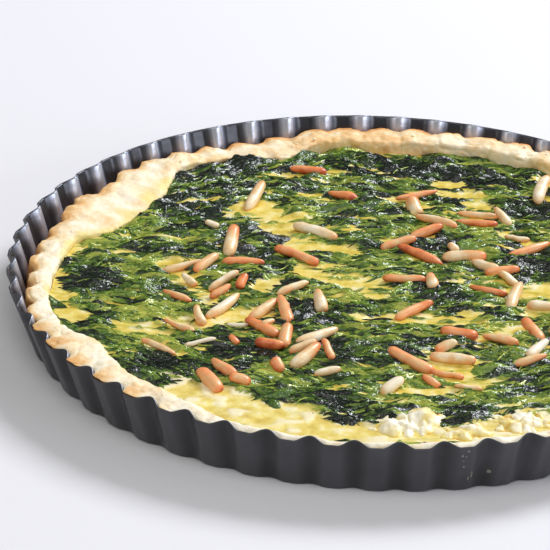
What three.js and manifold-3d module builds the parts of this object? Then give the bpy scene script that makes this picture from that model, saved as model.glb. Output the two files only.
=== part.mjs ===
// Spinach quiche with pine nuts, baked and served in its own fluted tin.
// Units are millimetres, +Z is up, the origin is the middle of the tin's underside, the front is -Y.
// Angles round the dish are in degrees: 0 at the front, growing towards +X, so the left is -90.
import * as THREE from "three";
import { mergeVertices } from "three/addons/utils/BufferGeometryUtils.js";
import Module from "manifold-3d";

// Tin: a thin sheet, flared, with flutes whose lobes are wide and whose inward cusps are narrow
// and stand a little higher at the rim.
const TIN_HEIGHT = 21.5;
const TIN_RIM_RADIUS = 140;
const TIN_BASE_RADIUS = 132;
const TIN_SHEET = 0.9;
const FLUTE_COUNT = 56;
const FLUTE_DEPTH_AT_RIM = 2.7;
const FLUTE_DEPTH_AT_BASE = 1.5;
const CUSP_RISE = 1.36;
const FLUTE_SHARPNESS = 1.2;
const FLUTE_START = -0.8;
const LOBE_HALF_PHASE = 0.15;
const COLUMN_PHASES = [LOBE_HALF_PHASE, 0.36, 0.5, 0.64, 1 - LOBE_HALF_PHASE];

// Pastry case: it fills the tin at the front, bulges over the rim at the front sides, and has
// shrunk away from the tin, inside the cusps, at both sides and the back.
const CRUST_GAP = 0.8;
const CRUST_FLOOR = 3;
const CRUST_FOOT_RADIUS = 124;
const CRUST_ROUNDING = 1.4;
const TOP_BELOW_RIM = 0.3;
const SHRUNK_DROP = 1.5;
const SHOULDER_DROP = 1.8;
const LIP_CLIMB = 0.6;
const LIP_TUCK = 0.25;
const CREST_SHARE = 0.45;
const SHRINK_FROM = 62;
const SHRINK_TO = 88;
const SHRUNK_RADIUS = 131;
const SHRUNK_FLUTE = 2;
const BULGE_FROM = 30;
const BULGE_TO = 70;
const BULGE_FADE = 9;
const BULGE_HEIGHT = 1.5;
const BULGE_WIDTH = 1.4;
const BULGE_CLEARANCE = 0.35;

// Inner edge of the pastry: thin at the front, then wider in two steps towards the shrunk part.
const INNER_RADIUS = 134;
const THIN_MIDDLE = 8;
const FIRST_STEP = { from: 22, to: 46, width: 6.5 };
const SECOND_STEP = { from: 68, to: 95, width: 8 };

// Places where the pastry differs from its run: the angle, how far it spreads, how much it
// changes there, and how sharply that ends.
const LEANING_FOLD = { angle: -118.5, spread: 16, amount: 15, sharpness: 4 };
const LOW_STRETCH = { angle: -156, spread: 11, amount: 3.2, sharpness: 2 };
const WAIST = { angle: -106, spread: 9, amount: 3, sharpness: 2 };
const NOTCH = { angle: -123, spread: 3.5, amount: 4, sharpness: 2 };
const NEARER_BACK = { angle: 145, spread: 42, amount: 3.2, sharpness: 2 };
const HIGHER_BACK = { angle: 150, spread: 35, amount: 0.9, sharpness: 2 };
const THICK_SPOTS = [
  { angle: -162, spread: 5, amount: 7, sharpness: 2 },
  { angle: 176, spread: 7, amount: 4, sharpness: 2 },
  { angle: -55, spread: 6, amount: 5, sharpness: 2 },
];
const FOLD_CREST_SHARE = 0.8;
const FOLD_DROP = 1.6;
const NEARER_BACK_INSIDE = 0.8;

// Unevenness of the pastry: waves round the dish and how far they reach.
const TOP_LUMPS = { cycles: 23, reach: 0.45 };
const INNER_LUMPS = { cycles: 17, reach: 0.8 };
const OUTER_LUMPS = { cycles: 19, reach: 0.6 };

// Filling: set custard and spinach, lowest at the back.
const FILLING_GAP = 0.85;
const FILLING_BELOW_RIM = 4.4;
const FILLING_TILT = 0.018;
const BROAD_SWELL = 0.5;
const MAT_LEVEL = 0.5;
const MAT_HEIGHT = 1.1;
const FIELD_CELLS = 31;
const FILLING_COLUMN_STEP = 2;

// Pine nuts: blunt rods, a little narrower at the tip, which leans up where it points to the back.
const NUT_SIDES = 5;
const NUT_OUTLINE = [[-0.5, 0], [-0.41, 0.8], [-0.02, 1], [0.4, 0.76], [0.5, 0]];
const NUT_LEAN = 2.5;
const NUT_STACK = 0.55;
const NUT_SPOTS = [-0.36, 0, 0.36];

// Nuts on the front, left and middle of the quiche: x, y, heading in degrees, length and width.
// Whole ones are about 14 to 20 long, and the rest are halves and broken bits.
const NUT_PLACES = [
  [-74, 3, 23, 16, 3.1], [-71, -9, 135, 8, 3.2], [-65, 5, 53, 14, 4.2], [-75, -24, 149, 13, 3.2],
  [-66, -41, 109, 10, 4], [-73, -50, 146, 14, 3], [-65, -62, 17, 12, 1.9], [-80, -67, 148, 15, 2.6],
  [-56, 25, 85, 20, 5.4], [-51, 8, 1, 16, 4.2], [-31, 13, 152, 19, 4], [-58, -10, 45, 15, 3.3],
  [-59, -19, 41, 10, 3.3], [-51, -13, 72, 8, 3.9], [-58, -31, 54, 20, 4.1], [-32, -15, 38, 15, 3.5],
  [-22, -26, 103, 11, 5.1], [-43, -33, 51, 16, 4.3], [-35, -34, 102, 18, 4.7], [-43, -49, 147, 15, 4.5],
  [-28, -65, 25, 11, 3.9], [-34, -56, 85, 14, 4.9], [-40, -62, 351, 11, 4.5], [-23, -55, 37, 19, 4.3],
  [-27, -71, 53, 17, 5], [-19, -66, 109, 11, 3.3], [-53, -59, 137, 5, 3], [-37, -80, 127, 6, 4.6],
  [-56, -84, 136, 13, 4.5], [-50, -92, 165, 8, 4.3], [-61, -93, 126, 14, 5.6], [-19, -82, 17, 10, 3.3],
  [-24, 37, 154, 19, 4.5], [-48, 66, 72, 20, 4.7], [-27, 94, 172, 15, 4.5], [-13, 72, 160, 13, 4.1],
  [16, 74, 22, 18, 3], [15, 63, 107, 10, 6], [23, 48, 153, 18, 4.2], [19, 39, 28, 15, 4],
  [8, 27, 23, 15, 3.9], [16, 16, 152, 20, 4.1], [40, 59, 179, 17, 3], [39, 51, 171, 17, 3.5],
  [49, 54, 124, 11, 3.9], [66, 80, 74, 18, 5.4], [54, 38, 173, 10, 2.6], [58, 26, 33, 20, 3.9],
  [29, 25, 141, 5, 3.5], [33, 17, 180, 17, 5.5], [41, 10, 148, 13, 4.5], [47, 6, 15, 14, 4],
  [49, -2, 149, 9, 3.5], [51, -17, 75, 20, 4.6], [62, -23, 354, 14, 4.2], [10, -4, 177, 17, 3.9],
  [20, -7, 102, 9, 4.6], [41, -12, 161, 15, 2.9], [13, -30, 38, 18, 3.9], [29, -47, 165, 14, 5],
  [26, -67, 169, 17, 4.7], [24, -58, 23, 9, 4.6], [44, -51, 161, 14, 4.1], [56, -44, 118, 14, 4.4],
  [54, -67, 22, 13, 3.5], [57, -59, 54, 13, 4.1], [65, -39, 80, 12, 4], [11, -71, 145, 20, 5],
  [24, -79, 171, 12, 2.4], [18, -85, 152, 8, 3.2], [4, -91, 42, 11, 4.7], [31, -89, 177, 10, 2.1],
  [-52, -45, 174, 8, 1.9], [-41, -47, 40, 6, 2.5], [-64, 39, 161, 6, 2.8],
];

// Nuts on the right side are spread by a rule: as dense as the rest and clear of one another.
const RIGHT_NUT_COUNT = 13;
const RIGHT_NUT_FROM_X = 76;
const RIGHT_NUT_REACH = 112;
const RIGHT_NUT_SPACING = 13;
const RIGHT_NUT_LENGTHS = { from: 10, to: 20 };
const RIGHT_NUT_WIDTHS = { from: 3.4, to: 4.9 };

// Streaks of bare custard between the mats of spinach: both ends, x and y, and half the width.
const CUSTARD_STREAKS = [
  [-121, -2, -118, -27, 4], [-114, -37, -112, -41, 7], [-115, 25, -115, 12, 4],
  [-100, 16, -95, 16, 3], [-80, 7, -66, -23, 5], [-73, -45, -40, -33, 6],
  [-97, -48, -75, -53, 4.5], [-84, -61, -74, -70, 3.5], [-45, -13, -39, -5, 4],
  [-46, 57, -30, 30, 9], [-30, 30, -8, 21, 5], [-23, 3, 1, -12, 8],
  [11, -35, 33, -34, 6], [38, -48, 52, -40, 5], [19, -69, 35, -82, 8],
  [7, -92, 25, -92, 4], [55, -6, 68, -10, 8], [3, 33, 17, 41, 5],
  [49, 45, 59, 34, 4], [3, 75, 19, 67, 4], [28, 88, 44, 62, 7],
  [7, 98, 9, 94, 4], [-26, 73, -15, 66, 4], [-36, 90, -33, 88, 4],
  [-67, -103, -28, -120, 12], [-24, -126, 31, -124, 7], [31, -124, 59, -114, 8],
  [90, 10, 100, -20, 6], [82, 60, 95, 40, 6], [75, -70, 88, -60, 6],
  [100, -50, 106, -30, 5], [70, 95, 78, 88, 5],
];

// Lumps of set egg and cheese along the front: x, y, half width, half depth, height.
const EGG_LUMPS = [
  [7, -120, 10, 6, 2.6], [15, -114, 5, 6, 3.2], [30, -122, 8, 5, 2.2], [48, -114, 10, 7, 3],
  [-66, -106, 9, 5, 1.2], [-50, -116, 9, 5, 1.1], [72, -104, 9, 8, 2.8],
];
const LUMP_UNEVENNESS = 0.12;

const wasm = await Module();
wasm.setup();

// Numbers between 0 and 1, the same on every run.
function seededRandom(seed) {
  const RANGE = 4294967296;
  let state = seed;
  return () => {
    state = (state * 1664525 + 1013904223) % RANGE;
    return state / RANGE;
  };
}

function smoothStep(from, to, value) {
  const t = Math.min(Math.max((value - from) / (to - from), 0), 1);
  return t * t * (3 - 2 * t);
}

// How much a named place changes the pastry at an angle, fading away on both sides of it.
function changeAt(place, angle) {
  const away = Math.abs(angle - place.angle);
  const shortest = Math.min(away, 360 - away);
  return place.amount * Math.exp(-((shortest / place.spread) ** place.sharpness));
}

// Gentle unevenness round the dish: three waves, the finer ones lower.
function lumpiness({ cycles, reach }, angle) {
  const turn = THREE.MathUtils.degToRad(angle);
  const broad = 0.5 * Math.sin(cycles * turn + 1);
  const middle = 0.3 * Math.sin(Math.round(1.7 * cycles) * turn + 2.3);
  const fine = 0.2 * Math.sin(Math.round(2.9 * cycles) * turn);
  return reach * (broad + middle + fine);
}

// Share of the flute's depth at a column's phase: 0 across the flat of a lobe, 1 on a cusp.
function fluteShare(phase) {
  const flat = Math.cos(2 * Math.PI * LOBE_HALF_PHASE);
  const share = (flat - Math.cos(2 * Math.PI * phase)) / (flat + 1);
  return Math.max(share, 0) ** FLUTE_SHARPNESS;
}

function rimHeight(phase) {
  return TIN_HEIGHT + CUSP_RISE * fluteShare(phase);
}

// Outside of the tin at a height.
function tinRadius(phase, height) {
  const climb = height / rimHeight(phase);
  const lobe = THREE.MathUtils.lerp(TIN_BASE_RADIUS, TIN_RIM_RADIUS, climb);
  const depth = THREE.MathUtils.lerp(FLUTE_DEPTH_AT_BASE, FLUTE_DEPTH_AT_RIM, climb);
  return lobe - depth * fluteShare(phase);
}

// Where every column of the fluted pieces stands.
function makeColumns() {
  const columns = [];
  for (let flute = 0; flute < FLUTE_COUNT; flute += 1) {
    for (const phase of COLUMN_PHASES) {
      const angle = FLUTE_START + (360 * (flute + phase)) / FLUTE_COUNT;
      columns.push({ angle: angle > 180 ? angle - 360 : angle, phase });
    }
  }
  return columns;
}

// A geometry with only positions, shared vertices, no flat triangles and its faces pointing out.
function closedGeometry(geometry) {
  geometry.deleteAttribute("normal");
  geometry.deleteAttribute("uv");
  const merged = mergeVertices(geometry, 1e-4);
  const index = merged.getIndex();
  const position = merged.getAttribute("position");
  const corners = [new THREE.Vector3(), new THREE.Vector3(), new THREE.Vector3()];
  const kept = [];
  let volume = 0;
  for (let start = 0; start < index.count; start += 3) {
    const triangle = [0, 1, 2].map((corner) => index.getX(start + corner));
    if (new Set(triangle).size === 3) {
      kept.push(triangle);
      triangle.forEach((vertex, corner) => corners[corner].fromBufferAttribute(position, vertex));
      volume += corners[0].dot(corners[1].clone().cross(corners[2]));
    }
  }
  const facing = volume < 0 ? kept.map(([a, b, c]) => [a, c, b]) : kept;
  merged.setIndex(facing.flat());
  return merged;
}

// A turned solid whose profile, a list of [radius, height], changes from column to column.
function turnedSolid(columns, profileAt) {
  const outline = profileAt(columns[0]).map(([radius, height]) => new THREE.Vector2(radius, height));
  const geometry = new THREE.LatheGeometry(outline, columns.length);
  const position = geometry.getAttribute("position");
  for (let turn = 0; turn <= columns.length; turn += 1) {
    const column = columns[turn % columns.length];
    const angle = THREE.MathUtils.degToRad(column.angle);
    profileAt(column).forEach(([radius, height], row) => {
      const vertex = turn * outline.length + row;
      position.setXYZ(vertex, radius * Math.sin(angle), -radius * Math.cos(angle), height);
    });
  }
  return closedGeometry(geometry);
}

function toManifold(geometry) {
  return new wasm.Manifold(new wasm.Mesh({
    numProp: 3,
    vertProperties: new Float32Array(geometry.getAttribute("position").array),
    triVerts: new Uint32Array(geometry.getIndex().array),
  }));
}

function fromManifold(solid) {
  const mesh = solid.getMesh();
  const geometry = new THREE.BufferGeometry();
  geometry.setAttribute("position", new THREE.BufferAttribute(mesh.vertProperties, 3));
  geometry.setIndex(new THREE.BufferAttribute(mesh.triVerts, 1));
  return geometry;
}

function namedMesh(name, geometry, look) {
  const mesh = new THREE.Mesh(geometry, new THREE.MeshStandardMaterial(look));
  mesh.name = name;
  return mesh;
}

// One pressed sheet: underside, fluted wall, cut rim and the same surfaces again inside.
function tinGeometry(columns) {
  return turnedSolid(columns, ({ phase }) => {
    const rim = rimHeight(phase);
    return [
      [0, 0],
      [tinRadius(phase, 0), 0],
      [tinRadius(phase, rim), rim],
      [tinRadius(phase, rim) - TIN_SHEET, rim],
      [tinRadius(phase, TIN_SHEET) - TIN_SHEET, TIN_SHEET],
      [0, TIN_SHEET],
    ];
  });
}

// 0 where the pastry fills the tin, 1 where it has shrunk from it.
function shrinkage(angle) {
  return smoothStep(SHRINK_FROM, SHRINK_TO, Math.abs(angle));
}

// 1 where the pastry bulges over the rim of the tin.
function bulge(angle) {
  const away = Math.abs(angle);
  return smoothStep(BULGE_FROM, BULGE_FROM + BULGE_FADE, away)
    * (1 - smoothStep(BULGE_TO - BULGE_FADE, BULGE_TO, away));
}

// Top of the pastry wall.
function crustTop(angle) {
  const raised = BULGE_HEIGHT * bulge(angle) + changeAt(HIGHER_BACK, angle);
  const sunk = TOP_BELOW_RIM + SHRUNK_DROP * shrinkage(angle) + changeAt(LOW_STRETCH, angle);
  return TIN_HEIGHT + raised - sunk + lumpiness(TOP_LUMPS, angle);
}

// Inner edge of the top of the pastry wall.
function crustInnerRadius(angle) {
  const first = smoothStep(FIRST_STEP.from, FIRST_STEP.to, Math.abs(angle - THIN_MIDDLE));
  const second = smoothStep(SECOND_STEP.from, SECOND_STEP.to, Math.abs(angle));
  const steps = FIRST_STEP.width * first + SECOND_STEP.width * second;
  const moved = NEARER_BACK_INSIDE * changeAt(NEARER_BACK, angle) - changeAt(LEANING_FOLD, angle);
  const thicker = THICK_SPOTS.reduce((sum, spot) => sum + changeAt(spot, angle), 0);
  return INNER_RADIUS - steps + moved - thicker + first * lumpiness(INNER_LUMPS, angle);
}

// Outside of the pastry: the tin's inside where it fills it, a soft echo of it where it has shrunk.
function crustOuterRadius({ angle, phase }, height) {
  const shrunk = shrinkage(angle) * smoothStep(0, TIN_HEIGHT, height);
  const inTin = tinRadius(phase, height) - TIN_SHEET - CRUST_GAP;
  const moved = changeAt(NEARER_BACK, angle) - changeAt(WAIST, angle) - changeAt(NOTCH, angle);
  const echo = SHRUNK_RADIUS - SHRUNK_FLUTE * fluteShare(phase) + lumpiness(OUTER_LUMPS, angle);
  return Math.min(THREE.MathUtils.lerp(inTin, echo + moved, shrunk), inTin);
}

function crustGeometry(columns) {
  const bottom = TIN_SHEET + CRUST_GAP;
  return turnedSolid(columns, (column) => {
    const top = crustTop(column.angle);
    const over = bulge(column.angle) * Math.max(1 - 2 * fluteShare(column.phase), 0);
    const lean = changeAt(LEANING_FOLD, column.angle) / LEANING_FOLD.amount;
    const crest = THREE.MathUtils.lerp(CREST_SHARE, FOLD_CREST_SHARE, lean);
    const shoulder = THREE.MathUtils.lerp(top - SHOULDER_DROP, TIN_HEIGHT + BULGE_CLEARANCE, over);
    const outer = crustOuterRadius(column, Math.min(shoulder, TIN_HEIGHT));
    const inner = crustInnerRadius(column.angle);
    const lip = outer + BULGE_WIDTH * over - LIP_TUCK * (1 - over);
    return [
      [0, bottom],
      [crustOuterRadius(column, bottom), bottom],
      [outer, shoulder],
      [lip, THREE.MathUtils.lerp(shoulder, top, LIP_CLIMB)],
      [THREE.MathUtils.lerp(inner, lip, crest), top],
      [inner, top - CRUST_ROUNDING - FOLD_DROP * lean],
      [Math.min(inner, CRUST_FOOT_RADIUS), bottom + CRUST_FLOOR],
      [0, bottom + CRUST_FLOOR],
    ];
  });
}

function distanceToStreak(x, y, [fromX, fromY, toX, toY]) {
  const runX = toX - fromX;
  const runY = toY - fromY;
  const along = ((x - fromX) * runX + (y - fromY) * runY) / (runX ** 2 + runY ** 2);
  const nearest = Math.min(Math.max(along, 0), 1);
  return Math.hypot(x - fromX - nearest * runX, y - fromY - nearest * runY);
}

// 1 in the middle of a streak of custard, 0 out on the spinach.
function custardShare(x, y) {
  let share = 0;
  for (const streak of CUSTARD_STREAKS) {
    const halfWidth = streak[4];
    const reach = distanceToStreak(x, y, streak) / halfWidth;
    share = Math.max(share, 1 - smoothStep(0.6, 1.3, reach));
  }
  return share;
}

// Height of the filling: tilted, with spinach standing above the custard in soft mats.
function fillingHeight(x, y) {
  const slope = TIN_HEIGHT - FILLING_BELOW_RIM - FILLING_TILT * y;
  const broad = BROAD_SWELL * Math.sin(x / 31 + 0.6) * Math.cos(y / 27);
  const mats = Math.sin(x / 4.1 + 2 * Math.sin(y / 9)) * Math.sin(y / 4.7 + 1.5 * Math.sin(x / 11));
  return slope + broad + (MAT_LEVEL + MAT_HEIGHT * mats) * (1 - custardShare(x, y));
}

// A slab whose upper face follows the filling's height.
function fillingSlab(bottom) {
  const side = 2 * TIN_RIM_RADIUS;
  const slab = new THREE.BoxGeometry(side, side, 2, FIELD_CELLS, FIELD_CELLS, 1);
  const position = slab.getAttribute("position");
  for (let vertex = 0; vertex < position.count; vertex += 1) {
    const upper = position.getZ(vertex) > 0;
    const height = fillingHeight(position.getX(vertex), position.getY(vertex));
    position.setZ(vertex, upper ? height : bottom - 1);
  }
  return toManifold(closedGeometry(slab));
}

// Nuts for the right side, each at least a spacing from the others.
function rightNuts() {
  const random = seededRandom(41);
  const places = [];
  while (places.length < RIGHT_NUT_COUNT) {
    const x = RIGHT_NUT_FROM_X + random() * (RIGHT_NUT_REACH - RIGHT_NUT_FROM_X);
    const y = (2 * random() - 1) * RIGHT_NUT_REACH;
    const heading = 180 * random();
    const length = THREE.MathUtils.lerp(RIGHT_NUT_LENGTHS.from, RIGHT_NUT_LENGTHS.to, random());
    const width = THREE.MathUtils.lerp(RIGHT_NUT_WIDTHS.from, RIGHT_NUT_WIDTHS.to, random());
    const clear = places.every(([otherX, otherY]) => (
      Math.hypot(x - otherX, y - otherY) > RIGHT_NUT_SPACING));
    if (clear && Math.hypot(x, y) < RIGHT_NUT_REACH) {
      places.push([x, y, heading, length, width]);
    }
  }
  return places;
}

// Height of a nut's middle line at a spot: on the filling, or on the nuts that lie there already.
function restingHeight(x, y, width, laid) {
  let height = fillingHeight(x, y);
  for (const spot of laid.flatMap((nut) => nut.spots)) {
    const apart = Math.hypot(x - spot.x, y - spot.y);
    const climb = Math.sqrt(Math.max((NUT_STACK * width) ** 2 - apart ** 2, 0));
    height = climb > 0 ? Math.max(height, spot.height + climb) : height;
  }
  return height;
}

// Every nut with its size and the heights of three spots along it.
function layNuts() {
  const laid = [];
  for (const [x, y, heading, length, width] of [...NUT_PLACES, ...rightNuts()]) {
    const angle = THREE.MathUtils.degToRad(heading);
    const spots = NUT_SPOTS.map((share) => {
      const spotX = x + share * length * Math.cos(angle);
      const spotY = y + share * length * Math.sin(angle);
      return { x: spotX, y: spotY, height: restingHeight(spotX, spotY, width, laid) };
    });
    const [tail, middle, tip] = spots;
    const lift = Math.max(middle.height - (tail.height + tip.height) / 2, 0);
    tail.height += lift;
    tip.height += lift + NUT_LEAN * Math.sin(angle);
    middle.height = (tail.height + tip.height) / 2;
    laid.push({ spots, length, width, angle });
  }
  return laid;
}

// A nut along +X: blunt at the tail, narrower at the tip.
function nutSolid({ spots, length, width, angle }) {
  const outline = NUT_OUTLINE.map(([along, girth]) => (
    new THREE.Vector2((girth * width) / 2, along * length)));
  const geometry = new THREE.LatheGeometry(outline, NUT_SIDES);
  const [tail, middle, tip] = spots;
  const run = (NUT_SPOTS[2] - NUT_SPOTS[0]) * length;
  geometry.rotateZ(-Math.PI / 2);
  geometry.rotateY(-Math.atan2(tip.height - tail.height, run));
  geometry.rotateZ(angle);
  geometry.translate(middle.x, middle.y, middle.height);
  return toManifold(closedGeometry(geometry));
}

// A flattened, uneven ball half sunk in the filling.
function lumpSolid([x, y, halfWidth, halfDepth, height]) {
  const geometry = new THREE.SphereGeometry(1, 8, 5);
  const position = geometry.getAttribute("position");
  const ground = fillingHeight(x, y);
  for (let vertex = 0; vertex < position.count; vertex += 1) {
    const [a, b, c] = [position.getX(vertex), position.getY(vertex), position.getZ(vertex)];
    const swell = 1 + LUMP_UNEVENNESS * Math.sin(3 * a + x) * Math.cos(4 * c + y);
    position.setXYZ(vertex, x + halfWidth * a * swell, y + halfDepth * c * swell, ground + height * b);
  }
  return toManifold(closedGeometry(geometry));
}

// Custard and spinach with the nuts and the lumps fused on.
function fillingGeometry(columns) {
  const bottom = TIN_SHEET + CRUST_GAP + CRUST_FLOOR + FILLING_GAP;
  const needed = columns.filter((column, place) => place % FILLING_COLUMN_STEP === 0);
  const plug = toManifold(turnedSolid(needed, (column) => {
    const radius = crustInnerRadius(column.angle) - FILLING_GAP;
    return [
      [0, bottom],
      [Math.min(radius, CRUST_FOOT_RADIUS - FILLING_GAP), bottom],
      [radius, crustTop(column.angle) - CRUST_ROUNDING],
      [radius, 2 * TIN_HEIGHT],
      [0, 2 * TIN_HEIGHT],
    ];
  }));
  let solid = fillingSlab(bottom);
  for (const lump of EGG_LUMPS) {
    solid = solid.add(lumpSolid(lump));
  }
  for (const nut of layNuts()) {
    solid = solid.add(nutSolid(nut));
  }
  return fromManifold(plug.intersect(solid));
}

const NON_STICK_STEEL = { color: 0x46464c, roughness: 0.45, metalness: 0.6 };
const SHORTCRUST = { color: 0xe8c58c, roughness: 0.85, metalness: 0 };
const SPINACH_CUSTARD = { color: 0x5c6b2c, roughness: 0.5, metalness: 0 };

const columns = makeColumns();
const quiche = new THREE.Group();
quiche.name = "spinach_quiche";
quiche.add(namedMesh("tin", tinGeometry(columns), NON_STICK_STEEL));
quiche.add(namedMesh("crust", crustGeometry(columns), SHORTCRUST));
quiche.add(namedMesh("filling", fillingGeometry(columns), SPINACH_CUSTARD));

export default quiche;
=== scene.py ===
"""Spinach quiche with pine nuts in its own fluted tin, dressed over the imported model.

Sizes are in millimetres and angles round the dish in degrees: 0 at the front, growing towards +X.
"""

import itertools
import math

import bpy
import numpy as np
from mathutils import Matrix, Vector


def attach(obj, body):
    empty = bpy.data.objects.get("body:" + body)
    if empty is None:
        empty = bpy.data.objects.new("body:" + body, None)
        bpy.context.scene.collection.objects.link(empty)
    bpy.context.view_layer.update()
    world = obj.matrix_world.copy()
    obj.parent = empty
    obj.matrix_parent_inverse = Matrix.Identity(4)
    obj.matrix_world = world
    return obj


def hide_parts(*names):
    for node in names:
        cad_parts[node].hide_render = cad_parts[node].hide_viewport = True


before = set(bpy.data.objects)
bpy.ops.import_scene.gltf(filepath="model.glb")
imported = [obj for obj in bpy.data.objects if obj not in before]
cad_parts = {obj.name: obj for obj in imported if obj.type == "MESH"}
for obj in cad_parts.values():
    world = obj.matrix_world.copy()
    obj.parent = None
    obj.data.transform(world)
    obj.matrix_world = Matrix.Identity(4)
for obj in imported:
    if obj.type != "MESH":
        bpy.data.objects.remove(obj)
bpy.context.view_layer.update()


# ----------------------------------------
# Tin: one thin steel sheet pressed into flutes, with a dark non-stick coating. Outside it is
# clean and satin, with painted shade in the grooves at the cusps; inside, the bare part of the wall shines,
# with pale painted highlights on its ridges.
# ----------------------------------------
MM = 0.001
TIN_HEIGHT = 21.5
TIN_RIM_RADIUS = 140
TIN_BASE_RADIUS = 132
TIN_SHEET = 0.9
TIN_FLAT = 80
FLUTE_COUNT = 56
FLUTE_DEPTH_AT_RIM = 2.7
FLUTE_DEPTH_AT_BASE = 1.5
CUSP_RISE = 1.36
FLUTE_SHARPNESS = 1.2
FLUTE_START = -0.8
LOBE_HALF_PHASE = 0.15
TIN_COLUMNS_PER_FLUTE = 20
CLOUD_SIZE = 22
GRIME_SIZE = 6
# Real orange peel is nearer half a millimetre, but it would not show.
ORANGE_PEEL_SIZE = 1.2


def between(low, high, share):
    return low + (high - low) * share


def flute_share(angles):
    """0 across the flat of a lobe, 1 on the cusp between two lobes."""
    flat = math.cos(2 * math.pi * LOBE_HALF_PHASE)
    turn = np.radians((angles - FLUTE_START) * FLUTE_COUNT)
    return np.clip((flat - np.cos(turn)) / (flat + 1), 0, 1) ** FLUTE_SHARPNESS


def rim_height(angles):
    return TIN_HEIGHT + CUSP_RISE * flute_share(angles)


def tin_radius(angles, heights):
    """Outside of the tin."""
    climb = heights / rim_height(angles)
    lobe = between(TIN_BASE_RADIUS, TIN_RIM_RADIUS, climb)
    depth = between(FLUTE_DEPTH_AT_BASE, FLUTE_DEPTH_AT_RIM, climb)
    return lobe - depth * flute_share(angles)


def round_the_dish(angles, radii, heights):
    """Points from their polar places, in rows of one point for each angle."""
    turn = np.radians(angles)
    spots = np.broadcast_arrays(radii * np.sin(turn), -radii * np.cos(turn), heights)
    return np.stack(spots, axis=-1)


def ring_quads(rows, columns):
    """Quads between rows of points that each run once round."""
    row, column = np.meshgrid(np.arange(rows - 1), np.arange(columns), indexing="ij")
    here = row * columns + column
    beside = row * columns + (column + 1) % columns
    return np.stack([here, beside, beside + columns, here + columns], -1).reshape(-1, 4)


def fan(ring, middle):
    """Triangles from a ring of points to one point in its middle."""
    return [[a, b, middle] for a, b in zip(ring, np.roll(ring, -1))]


def closed_rings(rows, columns):
    """Faces of rows of points that run round, closed by fans to two more points at the ends."""
    count = rows * columns
    faces = ring_quads(rows, columns).tolist()
    faces += [face[::-1] for face in fan(np.arange(columns), count)]
    return faces + fan(np.arange(count - columns, count), count + 1)


def make_piece(name, points, faces, material, **shades):
    """A smooth mesh object in metres; shades are values that its material reads at each point."""
    mesh = bpy.data.meshes.new(name)
    mesh.from_pydata((np.reshape(points, (-1, 3)) * MM).tolist(), [], faces)
    for shade, values in shades.items():
        layer = mesh.attributes.new(shade, "FLOAT", "POINT")
        layer.data.foreach_set("value", np.ravel(values).astype(np.float32))
    mesh.polygons.foreach_set("use_smooth", np.ones(len(mesh.polygons), bool))
    mesh.materials.append(material)
    mesh.validate()
    mesh.update()
    piece = bpy.data.objects.new(name, mesh)
    bpy.context.scene.collection.objects.link(piece)
    return piece


def linear(hex_colour):
    """An sRGB hex colour as linear red, green, blue and alpha."""
    shares = [int(hex_colour[start:start + 2], 16) / 255 for start in (1, 3, 5)]
    return [s / 12.92 if s <= 0.04045 else ((s + 0.055) / 1.055) ** 2.4 for s in shares] + [1]


def start_material(name):
    """A new material, its shader and the place on the object."""
    material = bpy.data.materials.new(name)
    material.use_nodes = True
    nodes = material.node_tree.nodes
    place = nodes.new("ShaderNodeTexCoord").outputs["Object"]
    return material, nodes["Principled BSDF"], place


def add_node(material, kind, settings, links):
    """Adds a node. Settings are its own values, socket values or a ramp's stops; links feed its sockets."""
    node = material.node_tree.nodes.new(kind)
    for name, value in settings.items():
        if name == "stops":
            ramp = node.color_ramp.elements
            while len(ramp) < len(value):
                ramp.new(1)
            for stop, (position, colour) in zip(ramp, value):
                stop.position = position
                stop.color = linear(colour)
        elif isinstance(name, int) or name in node.inputs:
            node.inputs[name].default_value = value
        else:
            setattr(node, name, value)
    for name, output in links.items():
        material.node_tree.links.new(output, node.inputs[name])
    return node


def join(material, output, socket):
    material.node_tree.links.new(output, socket)


def tin_mesh():
    columns = FLUTE_COUNT * TIN_COLUMNS_PER_FLUTE
    angles = FLUTE_START + np.arange(columns) * (360 / columns)
    # Rows: share of the rim's height, millimetres above that, how far out, and how far inside.
    rows = [(0, 0, -TIN_FLAT, 0), (0, 0, -2, 0), (0, 0, -1.2, 0), (0, 0.3, -0.35, 0), (0, 1.2, 0, 0)]
    rows += [(share, 0, 0, 0) for share in np.linspace(0.15, 0.95, 9)]
    rows += [(1, -0.3, 0, 0), (1, -0.08, -0.1, 0), (1, 0, -0.3, 0)]
    rows += [(1, 0, 0.3 - TIN_SHEET, 0.3), (1, -0.08, 0.1 - TIN_SHEET, 0.6)]
    rows += [(share, 0, -TIN_SHEET, 1) for share in np.linspace(0.98, 0.08, 12)]
    rows += [(0, TIN_SHEET, -1 - TIN_SHEET, 1), (0, TIN_SHEET, -TIN_FLAT, 1)]
    share, above, out, inside = np.array(rows, float).T[:, :, None]
    heights = share * rim_height(angles) + above
    points = round_the_dish(angles, tin_radius(angles, heights) + out, heights)
    points = np.vstack([points.reshape(-1, 3), [[0, 0, 0], [0, 0, TIN_SHEET]]])
    return points, closed_rings(len(rows), columns), {
        "rubbed": np.append(np.repeat(inside.ravel(), columns), [0, 1]),
        "ridge": np.append(np.tile(flute_share(angles), len(rows)), [0, 0])}
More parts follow.
